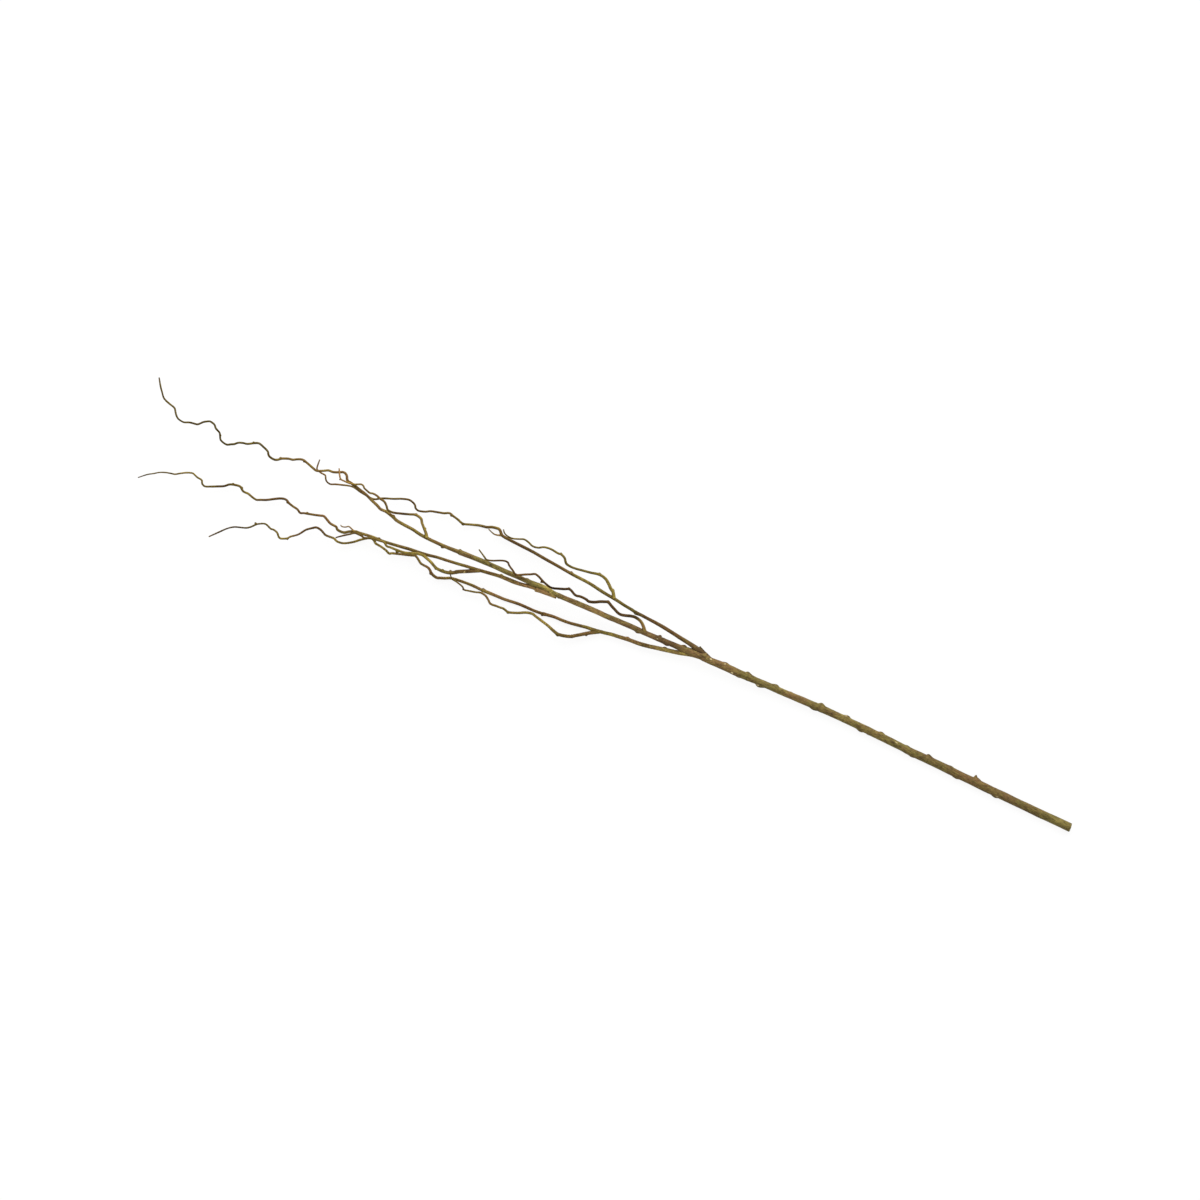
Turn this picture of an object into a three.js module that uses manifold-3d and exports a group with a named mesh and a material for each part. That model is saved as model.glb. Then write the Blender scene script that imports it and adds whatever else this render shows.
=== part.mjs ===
// Curly willow branch, cut and lying on a table. It grew as one piece, so it is one solid: a straight,
// knobbly stem, a fork of three limbs, and the thin shoots and twigs that coil as they grow.
//
// Millimetres. Every limb is a list of stations along its middle, in the order it grows:
//   [along, aside, up, thick]
//   along  distance from the cut end towards the tips
//   aside  to the left, looking from the cut end towards the tips
//   up     height of the limb's middle above the table
//   thick  diameter of the wood there
// A twig's first station lies in the middle of the limb that it grows from, so its root is sunk well in.
//
// Buds, leaf scars and snags are short cones that stand out of a limb:
//   [along, turn, reach, lean, thick]
//   turn   where it stands round the limb, in degrees: 0 left, 90 up, 180 right, 270 down
//   reach  how far its point stands out of the wood
//   lean   how far its point lies ahead of its root, towards the tip
//   thick  diameter of its root
import * as THREE from "three";
import { mergeVertices } from "three/addons/utils/BufferGeometryUtils.js";
import Module from "manifold-3d";

const STEM_SIDES = 10;
const LIMB_SIDES = 8;
const SHOOT_SIDES = 6;
const TWIG_SIDES = 5;
const BUD_SIDES = 4;
const RING_STEP = 14; // longest stretch of a limb between two of its rings
const TIP_SHARE = 0.8; // a limb's last ring is this share of the diameter before it
const BUD_POINT_SHARE = 0.3; // a bud's point is this share of its root's diameter
const SEARCH_STEPS = 8; // places tried in each stretch of a limb when a bud looks for its own
const CUT_SLANT = 6; // degrees by which the saw cut at the butt leans off square
const WOOD = { color: 0x8a7a4e, roughness: 0.75, metalness: 0 };

// The part's origin, on the table under the middle of the branch's box.
const ORIGIN_ALONG = 605.9;
const ORIGIN_ASIDE = 41.8;

const stem = {
  sides: STEM_SIDES,
  stations: [
    [-4, 0.8, 4.95, 10.6], [10, 0.8, 4.8, 10.6], [28, 0.9, 4.65, 10.4], [60, 0.75, 4.45, 10],
    [93, 0.5, 4.45, 9.9], [112, 0.55, 4.5, 10.1], [126, 0.35, 4.5, 10.1], [142, 0.1, 4.45, 9.9],
    [166, -0.35, 4.45, 9.8], [189, -0.55, 4.5, 9.6], [214, -0.6, 4.7, 9.5], [226, -1.1, 4.8, 8.9],
    [244, -1.5, 4.95, 9], [262, -1.7, 5.15, 9.2], [281, -2, 5.4, 9.1], [310, -2.2, 6, 8.7],
    [328, -2, 6.3, 9], [346, -1.4, 6.7, 8.9], [370, -0.6, 7.2, 8.4], [385, 0, 7.6, 8.3], [400, 0.3, 8, 8.3],
    [418, 1, 8.7, 8.4], [436, 1.6, 9.5, 9.1], [456, 1.7, 10.5, 9.4], [471, 2.5, 11.2, 8.6],
    [476.5, 2.85, 11.45, 8.4], [485, 1.9, 11.8, 10.4], [495, 2, 12.2, 10.2],
  ],
  buds: [
    [99, 0, 1.3, -1.5, 7], [125.5, 180, 1.6, 1, 7], [128.5, 180, 2.8, 0.5, 2], [150, 0, 1, 0, 7],
    [161, 180, 0.6, 0, 6], [188, 180, 1.8, 3, 6], [198, 80, 0.8, 1, 5], [208.5, 0, 0.8, 0, 6],
    [218.5, 180, 0.7, 0, 5], [236, 95, 0.9, 1, 5], [252.5, 180, 1.4, 0.5, 6], [267, 0, 0.4, 0, 4],
    [278.5, 0, 1.2, -1, 7], [300, 180, 1.5, -2, 7], [317, 85, 0.8, 1, 5], [332, 180, 2, 1, 6],
    [339.5, 0, 1.2, 0, 8], [357, 272, 1.2, 2, 6], [372, 190, 0.4, 0, 4], [382, 110, 0.8, 1, 5],
    [393, 180, 1.6, -1.5, 7], [408.5, 0, 2.1, 2.5, 8], [425, 265, 1.2, 1, 6], [426.5, 180, 1.6, 2.5, 6],
    [438, 0, 0.5, 0, 5], [445, 60, 1, 1, 5], [458, 180, 0.9, -1, 6],
  ],
};

// What is left of a limb that was lost at the fork: a flat, pointed snag.
const forkSnag = {
  sides: SHOOT_SIDES,
  stations: [[476, 2.2, 11.2, 6.6], [485, -1.5, 12, 6], [490.5, -4.7, 12.5, 3.5], [495, -7.6, 12.9, 1.9]],
  buds: [],
};

const rightLimb = {
  sides: SHOOT_SIDES,
  stations: [
    [484, 0.2, 12, 8.1], [495, -3.2, 13.5, 6.6], [508, -5.5, 15.1, 5.2], [520, -6.9, 16.8, 4.9],
    [532, -8.5, 18.7, 4.6], [545.5, -10.1, 20.5, 4.4], [556, -10.9, 21, 4.2], [568, -11.5, 21.5, 4],
    [575, -11.9, 22, 4.1], [581.5, -11.6, 22.9, 4.8], [583, -12.1, 23.2, 4], [588, -12.9, 24, 3.9],
    [598, -13.9, 24, 3.9], [606.5, -15.2, 24, 4], [626.5, -17.2, 22, 4.1], [647.5, -20, 20, 3.9],
    [668.5, -21, 17.5, 3.9], [689, -22.6, 13, 3.8], [707, -24, 10, 3.8], [725.5, -25.5, 7.5, 3.8],
    [742, -26.1, 5.5, 3.7], [762, -27, 5, 3.6], [766.5, -28, 6.5, 3.6], [770.5, -32, 6.5, 3.5],
    [773, -33, 5.5, 3.5], [777, -32.5, 3.15, 3.5], [781.5, -31.5, 1.9, 3.4], [786.5, -29, 1.3, 3.3],
    [795.5, -27, 1.9, 3.1], [805.5, -23.5, 3, 2.9], [814.5, -20.5, 7.5, 2.9], [822, -22.5, 10, 2.9],
    [829.5, -24, 9.5, 2.8], [832.5, -25, 8.5, 2.8], [836, -24.5, 6.5, 2.8], [839.5, -22.5, 5.5, 2.8],
    [846, -20.5, 6.5, 2.7], [856, -17.5, 5.5, 2.7], [861, -14.5, 6, 2.7], [866.5, -12.5, 9.5, 2.6],
    [870, -12, 13, 2.5], [873.5, -13.5, 15.5, 2.5], [875, -16, 16, 2.5], [883.5, -19, 12.5, 2.5],
    [893, -16.5, 9, 2.5], [902.5, -12, 8.5, 2.5], [912.5, -8, 9, 2.5], [918, -5, 10, 2.5],
    [921.5, -2.5, 11.5, 2.4], [925.5, -1.5, 13.5, 2.4], [933.5, -2, 16.5, 2.4], [942.5, -3, 18.5, 2.3],
    [950.5, -4.5, 18, 2.3], [955.5, -4, 16, 2.2], [963.5, -1.5, 16, 2.2], [972, 1.5, 17, 2.2],
    [977.5, 4, 20.5, 2.1], [983, 2.5, 26, 2.1], [985, 0, 27.5, 2.1], [987, -3, 26, 2.1], [993, -3.5, 24, 2],
    [999, -5.5, 27.5, 1.9], [1000, -9.5, 30, 1.9], [1000.6, -17.3, 31, 1.8],
  ],
  buds: [[671, 180, 1, 1, 3], [814, 0, 0.8, 0, 2.6], [830, 0, 1.2, 1, 2.2], [911, 90, 0.8, 0.8, 1.9]],
};

const rightTwig = {
  sides: TWIG_SIDES,
  stations: [
    [612.5, -16.2, 23.5, 4.4], [617, -22.8, 25, 4], [620, -24.4, 26, 3.9], [626, -29.4, 29, 3.8],
    [631.5, -33, 29.5, 3.5], [639.5, -34.5, 28.5, 3.4], [651.5, -32, 29.5, 3], [660, -30.5, 28.5, 2.9],
    [668.5, -29, 27.5, 2.9], [674, -28.5, 28.5, 2.9], [681.5, -29.5, 31.5, 2.9], [684, -32, 32, 2.9],
    [686, -34.5, 31.5, 2.9], [692, -37, 27.5, 2.9], [695.5, -36.5, 25.5, 2.8], [705.5, -37.5, 22.5, 2.7],
    [714.5, -36, 18, 2.5], [720.5, -32.5, 16.5, 2.5], [727.5, -31.5, 19, 2.4], [733, -33.5, 19.5, 2.4],
    [740, -34.5, 15, 2.3], [745, -32.5, 12, 2.2], [753.5, -29.5, 11, 2], [761, -30, 13.5, 1.9],
    [764.5, -31.5, 14.5, 1.8], [767.3, -34.9, 14.5, 1.8],
  ],
  buds: [[618, 180, 0.8, 0.3, 2.6], [640, 180, 0.8, 0.5, 2.6], [692, 180, 0.7, 0.3, 2.2]],
};

const rightTwiglet = {
  sides: TWIG_SIDES,
  stations: [[765.5, -27.5, 6, 2.4], [774.5, -25, 8.5, 1.8], [783.5, -27.5, 12.5, 1.6]],
  buds: [],
};

const middleLimb = {
  sides: LIMB_SIDES,
  stations: [
    [483, 0.8, 12, 10.7], [495, 2.3, 12.3, 9.7], [508.5, 3.2, 12.6, 7.9], [517, 3.9, 13.2, 7.1],
    [528, 4.2, 14.1, 6.4], [543, 5, 15.1, 6.8], [560, 5.6, 15.8, 6.4], [578, 5.6, 16.7, 6.5],
    [597, 6.3, 17.8, 6.6], [615, 6.9, 18.8, 6.4], [633.5, 7.3, 19.7, 6.6], [650, 7.9, 20.3, 6.5],
    [664, 8.6, 20.9, 6], [674, 8.9, 21.6, 6.4], [685, 9.2, 22.5, 7],
  ],
  buds: [
    [512, 180, 1.5, -1, 5], [533, 0, 1.1, -1, 6], [543, 180, 1.8, -0.4, 3], [570, 0, 1.1, 0, 5],
    [606, 100, 0.8, 1, 4], [640, 260, 0.8, 1, 4],
  ],
};

const middleTwig = {
  sides: TWIG_SIDES,
  stations: [
    [561.5, 5.3, 16, 4.8], [566, -0.3, 19, 4], [572, -4.9, 22, 3.6], [580.5, -6.5, 22, 3.6],
    [585.5, -5.5, 21.5, 3.6], [591, -3.5, 22.5, 3.5], [597, -2, 25.5, 3.5], [601, -2.5, 28, 3.5],
    [606, -4.5, 30, 3.5], [611, -6.5, 30.5, 3.5], [617, -9, 28.5, 3.5], [621.5, -7.5, 25.5, 3.6],
    [626, -5.5, 24.5, 3.6], [631, -2.5, 25, 3.5], [636, -0.5, 27.5, 3.4], [638.5, 0, 29, 3.4],
    [642.5, -1, 30.5, 3.3], [650.5, -1, 30.5, 3.2], [654, 0, 31.5, 3.2], [657.5, -0.5, 33, 3.1],
    [661.5, -2.5, 33, 3.1], [665.5, -3.5, 31.5, 3.1], [671, -1, 29.5, 3], [677.5, 1.5, 30.5, 2.9],
    [683, 3.5, 33, 2.9], [687.5, 4, 35.5, 2.8], [697, 1.5, 38, 2.7], [706, -2, 37, 2.7],
    [710, -2.5, 35, 2.6], [714.5, 0, 33.5, 2.6], [719.5, 2.5, 33.5, 2.6], [725, 5.5, 35, 2.5],
    [730.5, 8, 39, 2.5], [735.5, 5, 43, 2.5], [742.5, 1, 44, 2.4], [744.5, -1, 43, 2.4],
    [748, -1.5, 40.5, 2.3], [752, -0.5, 38, 2.2], [756.5, 1.5, 37, 2.2], [762.5, 4.5, 38, 2.1],
    [766.5, 6, 40, 2.1], [770, 6.5, 43, 2.1], [772.5, 5, 45, 2.2], [782.6, -0.6, 48.3, 2.1],
  ],
  buds: [[617, 180, 0.6, 0, 2.6], [666, 180, 0.6, 0, 2.3], [697, 0, 2, 1.5, 1.6]],
};

const longShoot = {
  sides: SHOOT_SIDES,
  stations: [
    [676, 9.3, 22, 6], [694.5, 7.5, 23, 5.5], [706, 8.7, 23.3, 6], [713, 9.1, 23.6, 6],
    [718, 9.3, 23.9, 5.6], [730, 9.3, 25.3, 6], [742, 9.8, 26.8, 6.1], [758, 9.9, 28, 5.9],
    [773.5, 10.4, 29, 6], [786, 11, 30, 5.9], [796, 11.6, 30.8, 6.4], [802, 12, 31.2, 6.2],
    [804, 12.2, 31.5, 5.1], [815.5, 13, 32.5, 4.7], [828, 13.5, 34, 4.3], [840.5, 13.5, 35.5, 4.1],
    [853.5, 12.9, 36.5, 4.1], [864.5, 11.2, 38, 4], [877, 10.5, 39, 3.9], [887, 9.5, 41, 3.8],
    [891, 8, 41.5, 3.8], [902, 5.5, 41.5, 3.7], [909.5, 5.5, 43, 3.6], [914, 3.5, 44, 3.6],
    [923, 0.5, 44.5, 3.5], [932.5, -3, 45, 3.4], [941, -5, 46, 3.4], [950, -7, 47, 3.4],
    [955.5, -8, 49, 3.3], [957.5, -8, 50.5, 3.2], [960, -10, 52, 3.2], [961.5, -13, 52, 3.1],
    [964, -15, 50.5, 3.1], [968, -15.5, 47, 3], [972, -13.5, 45.5, 3], [979, -10.5, 47, 2.9],
    [984.5, -10, 47.5, 2.9], [989, -7.5, 47.5, 2.9], [993.5, -5, 49, 2.9], [997.5, -3.5, 52.5, 2.9],
    [1001.5, -4.5, 55, 2.9], [1010, -7, 56, 2.8], [1017, -8.5, 54, 2.8], [1024, -6, 51.5, 2.7],
    [1028, -3.5, 51.5, 2.7], [1033, -2.5, 52, 2.8], [1041.5, 1.5, 52, 2.8], [1043.5, 3.5, 52.5, 2.8],
    [1047, 5.5, 55, 2.8], [1053.5, 5, 61, 2.8], [1056, 3.5, 62.5, 2.7], [1058, 0.5, 63, 2.6],
    [1065.5, -2.5, 61.5, 2.6], [1072.5, -4, 58.5, 2.6], [1077.5, -2, 56, 2.7], [1085, 2.5, 55.5, 2.6],
    [1089.5, 3.5, 56, 2.5], [1095.5, 6, 55, 2.5], [1098.5, 9, 54.5, 2.6], [1102, 11, 56, 2.6],
    [1106, 13.5, 59.5, 2.5], [1112.5, 12.5, 65, 2.4], [1115, 11, 67, 2.4], [1117, 7.5, 68, 2.4],
    [1119, 4.5, 67.5, 2.4], [1125.5, 1.5, 67, 2.4], [1128.5, -1.5, 65.5, 2.4], [1135.5, -3, 61, 2.4],
    [1139, -1.5, 58.5, 2.4], [1143, 1, 56.5, 2.4], [1145.5, 4, 56.5, 2.4], [1148, 6.5, 58, 2.4],
    [1153, 7.5, 60, 2.3], [1157.5, 8.5, 60.5, 2.3], [1163, 11, 62, 2.3], [1167, 11, 64.5, 2.2],
    [1171, 10, 67, 2.2], [1174, 7.5, 69, 2.2], [1176.5, 4.5, 69, 2.2], [1180, 0.5, 66.5, 2.2],
    [1187.5, -1.5, 63.5, 2.2], [1196, -4.5, 64.5, 2.2], [1201.5, -10.5, 66.5, 2.1], [1206, -16, 67, 2.1],
    [1211.8, -24.6, 67.5, 2],
  ],
  buds: [
    [715, 180, 0.7, 1, 4], [762, 90, 0.8, 1, 4], [802, 180, 0.7, 1, 3.6], [823, 0, 1.4, 1, 3],
    [892, 180, 0.9, 0, 3], [1014, 0, 1, 0.8, 2], [1041, 180, 0.9, 0.5, 2], [1078, 180, 0.8, 0.4, 1.8],
    [1117, 180, 0.6, 0.4, 1.6], [1163, 90, 0.6, 0.4, 1.5],
  ],
};

const longTwig = {
  sides: TWIG_SIDES,
  stations: [
    [845.5, 13, 36.5, 4.4], [848, 9, 37.5, 3.8], [853, 4, 41, 3.4], [858, -1, 43.5, 3.3],
    [860.5, -4.5, 43.5, 3.2], [868.5, -6, 41, 3.1], [875.5, -3.5, 41.5, 3], [885, 0, 44, 2.9],
    [894.5, 3, 47.5, 2.8], [901, 2.5, 52.5, 2.8], [903, 0, 54.5, 2.8], [905.5, -2.5, 54.5, 2.8],
    [908.5, -4.5, 53.5, 2.8], [914.5, -5.5, 51.5, 2.7], [919, -7, 51, 2.6], [925, -7.5, 50, 2.5],
    [928.5, -6.5, 50.5, 2.4], [934, -8, 53, 2.3], [937, -9, 53.5, 2.3], [939, -11, 52.5, 2.3],
    [942, -11.5, 51, 2.3], [945.5, -10, 50, 2.2], [949.5, -8, 50.5, 2.2], [957.5, -6.5, 53, 2.1],
    [961.5, -6.5, 55.5, 2.1], [965.5, -6.5, 59, 2], [967.5, -8, 62, 2], [969.5, -11, 64, 2.1],
    [973.1, -17.6, 65.2, 2],
  ],
  buds: [[852, 180, 0.8, 0.3, 2.4], [868, 180, 0.7, 0, 2.2], [966, 0, 1.2, 0.3, 1.2]],
};

const secondShoot = {
  sides: SHOOT_SIDES,
  stations: [
    [675.5, 10.8, 22, 6], [694.5, 12.4, 21.5, 6.4], [701, 13.3, 21, 6.5], [702.5, 12.9, 20.8, 5.2],
    [707, 13.3, 20.6, 5], [713, 14.4, 20.5, 5], [720, 15.7, 20.5, 4.9], [730, 16.7, 20.3, 5],
    [742, 17.3, 20, 4.9], [751, 18.2, 19.3, 4.4], [760.5, 19.7, 18.5, 4.1], [773, 21.7, 17.5, 4],
    [784.5, 23.3, 17.5, 3.7], [799, 25.6, 17, 3.6], [813.5, 27.6, 16.5, 3.6], [826, 29.2, 15.5, 3.7],
    [834.5, 31, 15.5, 3.8], [847, 32.9, 15.5, 3.9], [859.5, 34.3, 15.5, 3.9], [871, 36.2, 15.5, 3.8],
    [883, 38, 15.5, 3.7], [894, 39.3, 16, 3.6], [905, 39.8, 16, 3.5], [921.5, 42, 14.5, 3.4],
    [926.5, 42.5, 12.5, 3.4], [931, 44.5, 10.5, 3.3], [934.5, 46.5, 10.5, 3.3], [938.5, 49.5, 12, 3.2],
    [947.5, 49.5, 17, 3.1], [949, 47.5, 17.5, 3], [958, 46.5, 16, 3], [963.5, 44, 16, 3],
    [969, 42, 13.5, 2.9], [972.5, 43, 11, 2.9], [978.5, 45, 9.5, 2.9], [985.5, 47, 9.5, 2.9],
    [992.5, 49, 10.5, 2.8], [996, 50.5, 13, 2.8], [1000.5, 48, 15, 2.8], [1007, 47, 15, 2.8],
    [1013, 45.5, 16, 2.8], [1017, 43.5, 14.5, 2.8], [1021, 43.5, 11, 2.8], [1025.5, 45, 8.5, 2.8],
    [1030, 47.5, 7, 2.8], [1039.5, 53.5, 7, 2.8], [1046, 56.5, 8, 2.7], [1050.5, 58.5, 10.5, 2.7],
    [1056.5, 57.5, 13.5, 2.7], [1062, 56, 14, 2.7], [1068.5, 56, 15, 2.7], [1074, 52.5, 14.5, 2.8],
    [1077.5, 52.5, 12.5, 2.8], [1087.5, 55.5, 7.5, 2.8], [1092.5, 60, 7, 2.8], [1100, 64, 8, 2.6],
    [1108, 68, 10.5, 2.5], [1112.5, 70, 14.5, 2.4], [1115, 69.5, 17.5, 2.4], [1117, 68, 19.5, 2.4],
    [1118.5, 65, 19.5, 2.3], [1125.5, 64, 17.5, 2.2], [1132, 62, 16.5, 2.1], [1134.5, 62.5, 15.5, 2.1],
    [1139.5, 64.5, 13.5, 2.1], [1147.5, 69.5, 14, 2], [1151, 72, 16, 1.9], [1155, 73, 18.5, 1.9],
    [1162, 75, 20, 1.8], [1168.5, 78, 21, 1.7], [1174, 82, 22, 1.7], [1180, 86, 22.5, 1.6],
    [1188.9, 94.4, 23, 1.6],
  ],
  buds: [
    [745, 180, 1, 0.8, 3.4], [771, 90, 0.7, 0.5, 3], [897, 180, 0.9, 0, 2.8], [988, 180, 0.8, 0, 2.1],
    [1014, 0, 0.9, 0.4, 2.1], [1072, 180, 0.9, 0, 2.1], [1083, 180, 0.8, 0.3, 2.1],
    [1132, 90, 0.6, 0.3, 1.5],
  ],
};

const secondTwig = {
  sides: TWIG_SIDES,
  stations: [
    [771.5, 21.5, 17.5, 4.9], [784, 28.3, 17, 4.6], [796, 34.8, 16.5, 4.7], [798.5, 36.8, 16.5, 4.4],
    [802, 39, 17.5, 4.3], [806.5, 40.5, 19, 4], [814.5, 41.5, 22, 3.8], [820.5, 41, 25, 3.6],
    [828.5, 37.5, 26.5, 3.5], [833, 36, 26, 3.5], [841.5, 34, 23.5, 3.5], [847.5, 35, 21.5, 3.5],
    [853, 37, 21, 3.5], [862.5, 40.5, 22.5, 3.3], [872, 41.5, 24, 3], [881, 42, 25.5, 2.8],
    [884.5, 42.5, 27, 2.7], [889.5, 39.5, 27.5, 2.7], [894, 40, 25.5, 2.7], [907, 42.5, 25, 2.6],
    [914, 45, 27.5, 2.5], [917, 44, 28.5, 2.5], [920.5, 44, 29, 2.5], [926, 44.5, 27.5, 2.4],
    [930.5, 48, 26.5, 2.3], [937, 53, 27, 2.3], [944.2, 59.1, 28.6, 2.1],
  ],
  buds: [[802, 180, 1.5, 0.6, 2.8], [812, 180, 0.8, 0, 2.4], [820, 0, 0.7, 0, 2.4], [871, 0, 2.6, -0.4, 1.8]],
};

const secondTwiglet = {
  sides: TWIG_SIDES,
  stations: [
    [926, 42, 13, 2.6], [929, 42.5, 15, 2.1], [936.5, 40.5, 17, 1.7], [939, 42.5, 18, 1.6],
    [943.5, 44, 20.5, 1.5], [945.5, 43, 22, 1.4],
  ],
  buds: [],
};

const leftLimb = {
  sides: SHOOT_SIDES,
  stations: [
    [482.5, 1.8, 12, 8.3], [490, 3.4, 12, 6.7], [500, 5.5, 11.3, 5.9], [516, 10.3, 10.6, 5.5],
    [526, 12.6, 10.2, 5.4], [541, 15.9, 9.7, 5.1], [552, 18.4, 9.2, 5], [563.5, 20.2, 8.7, 5],
    [575, 21.2, 8.2, 4.7], [587, 22.8, 7.5, 4.6], [596, 24, 7, 4.6], [607, 26.3, 6.5, 4.4],
    [620, 28.5, 5.9, 4.5], [627, 29.2, 5.5, 4.2], [636, 30.9, 5, 4], [647, 32.9, 4.5, 3.8],
    [655, 33.8, 4.1, 3.8], [669, 34.5, 3.5, 3.8], [680.5, 36.5, 2.65, 4.4], [682, 36.7, 2.6, 3.8],
    [692, 37.8, 2.05, 3.7], [712, 38.3, 1.45, 3.7], [724, 39.7, 1.45, 3.7], [732, 40.6, 1.75, 3.7],
    [740, 40.9, 2.25, 3.8], [759, 41.8, 3.5, 4.4], [761, 41.9, 3.7, 3.6], [772, 41.8, 4.8, 3.6],
    [788, 43, 4.3, 3.5], [800, 44.8, 2.8, 3.4], [806.5, 48, 1.7, 3.3], [811.5, 50, 2.8, 3.4],
    [815.5, 51.5, 5, 3.5], [823, 49.5, 8.5, 3.6], [826, 47, 9.5, 3.4], [829.5, 45, 9, 3.2],
    [836.5, 44.5, 8, 3], [840, 44, 9, 2.9], [843, 42, 9.5, 2.9], [847, 39.5, 8.5, 2.9], [850, 38.5, 6, 2.9],
    [854, 40, 3.5, 2.9], [860, 42, 2.5, 2.9], [871.5, 46, 3.5, 2.9], [877, 48, 5, 2.9],
    [879, 49.5, 6.5, 2.9], [884.5, 47.5, 9.5, 2.9], [892, 46, 9.5, 2.9], [899.5, 45, 11.5, 3.1],
    [901, 43.5, 11.5, 3.1], [903, 42.5, 10.5, 3.1], [906, 42, 8, 3], [910, 43.5, 4.5, 2.9],
    [917.5, 49, 3, 2.8], [924, 55, 4, 2.8], [933, 61, 7, 2.7], [938, 62.5, 10, 2.7], [942.5, 62.5, 13, 2.7],
    [946, 61, 13.5, 2.7], [953.5, 61.5, 13, 2.6], [957.5, 61.5, 14.5, 2.6], [961, 60, 16, 2.6],
    [964.5, 58.5, 15.5, 2.7], [971, 58, 13, 2.7], [975, 60.5, 11, 2.7], [981.5, 66, 9, 2.6],
    [983.5, 69, 9, 2.5], [987.5, 75, 10.5, 2.4], [995, 81.5, 12, 2.4], [997, 84.5, 14, 2.4],
    [1004, 88, 20.5, 2.4], [1006, 87.5, 23, 2.4], [1008, 85.5, 24.5, 2.4], [1010, 83.5, 24.5, 2.4],
    [1016, 82, 22.5, 2.3], [1019, 82.5, 22.5, 2.3], [1024.5, 80.5, 22.5, 2.3], [1028, 80, 21, 2.2],
    [1036, 84, 18, 2.2], [1039, 87, 17.5, 2.2], [1042, 90.5, 18.5, 2.2], [1045.5, 93.5, 21.5, 2.2],
    [1050, 95.5, 24.5, 2.1], [1059.5, 99, 26.5, 2], [1066, 104, 26.5, 1.9], [1073, 112, 27.5, 2],
    [1081.8, 122.4, 29.1, 1.9],
  ],
  buds: [
    [531, 180, 1, 0, 4], [577, 180, 0.9, 0, 3.6], [681, 0, 1, 1.6, 2.4], [758, 180, 0.6, 1, 3],
    [823, 0, 0.9, 0.5, 2.6], [901, 180, 0.7, 0.3, 2.3], [997, 0, 0.9, 0, 1.8], [1037, 180, 2, 0.6, 1.5],
  ],
};

const leftTwig = {
  sides: TWIG_SIDES,
  stations: [
    [610, 26.8, 6.5, 4.5], [622, 34.2, 7, 4.6], [634, 42.8, 7.5, 4.3], [640.5, 47.3, 9, 4.2],
    [655, 51.1, 13, 4.1], [662, 49.5, 14.5, 3.8], [670, 47, 15.5, 3.5], [679, 45, 15.5, 3.4],
    [688.5, 43, 14.5, 3.3], [693, 42, 13, 3.3], [701, 44, 10.5, 3.3], [707.5, 47.5, 9.5, 3.2],
    [714, 50.5, 10, 3.2], [720.5, 52.5, 12, 3.1], [727, 51, 13, 2.9], [731.5, 51.5, 12.5, 2.8],
    [737.5, 52, 12.5, 2.8], [741.5, 52.5, 13.5, 2.8], [744.5, 52, 15, 2.8], [747.5, 49.5, 15.5, 2.7],
    [750.5, 47.5, 15, 2.7], [753.5, 46, 13.5, 2.6], [760.5, 45.5, 9.5, 2.4], [764.5, 47, 8.5, 2.3],
    [774, 49.5, 8, 2.2], [780, 50.5, 10.5, 2.1], [782, 48.5, 12, 2], [790.5, 46, 12.5, 1.9],
    [795, 45.5, 13, 1.8], [798, 45, 14.5, 1.9], [801.9, 41.1, 16.2, 1.8],
  ],
  buds: [[625, 0, 1, -0.3, 2.4], [655, 0, 0.8, 0, 3], [720, 0, 0.7, 0, 2.3], [780, 0, 0.5, 0, 1.5]],
};

const limbs = [
  stem, forkSnag, rightLimb, rightTwig, rightTwiglet, middleLimb, middleTwig, longShoot, longTwig,
  secondShoot, secondTwig, secondTwiglet, leftLimb, leftTwig,
];

const wasm = await Module();
wasm.setup();

// A closed tube whose rings stand square to a path. Each ring is {centre, tangent, radius}.
// A cylinder's own rings are moved onto the path; side carries on from ring to ring, so the tube has
// no twist of its own. The rings start half a face round, so that an even number of sides has one
// face flat underneath.
function tube(rings, sides) {
  const steps = rings.length - 1;
  const geometry = new THREE.CylinderGeometry(1, 1, 1, sides, steps, false, Math.PI / sides);
  const position = geometry.attributes.position;
  const frames = [];
  const side = new THREE.Vector3(0, 1, 0);
  for (const { tangent } of rings) {
    side.addScaledVector(tangent, -side.dot(tangent)).normalize();
    frames.push({ side: side.clone(), over: new THREE.Vector3().crossVectors(tangent, side) });
  }
  const point = new THREE.Vector3();
  for (let i = 0; i < position.count; i++) {
    const ring = Math.round((0.5 - position.getY(i)) * steps);
    const { centre, radius } = rings[ring];
    point.copy(centre);
    point.addScaledVector(frames[ring].side, position.getX(i) * radius);
    point.addScaledVector(frames[ring].over, position.getZ(i) * radius);
    position.setXYZ(i, point.x, point.y, point.z);
  }
  return geometry;
}

// A limb's middle: a smooth curve through its stations.
function limbPath({ stations }) {
  const points = stations.map(([along, aside, up]) => new THREE.Vector3(along, aside, up));
  return new THREE.CatmullRomCurve3(points, false, "centripetal");
}

// A limb's ring at t, where 0 is its first station and 1 its last, with as many equal spans of t
// between them as there are stretches between stations.
function ringAt({ stations }, path, t) {
  const spans = stations.length - 1;
  const span = Math.min(Math.floor(t * spans), spans - 1);
  const thick = THREE.MathUtils.lerp(stations[span][3], stations[span + 1][3], t * spans - span);
  return { centre: path.getPoint(t), tangent: path.getTangent(t), radius: thick / 2 };
}

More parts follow.
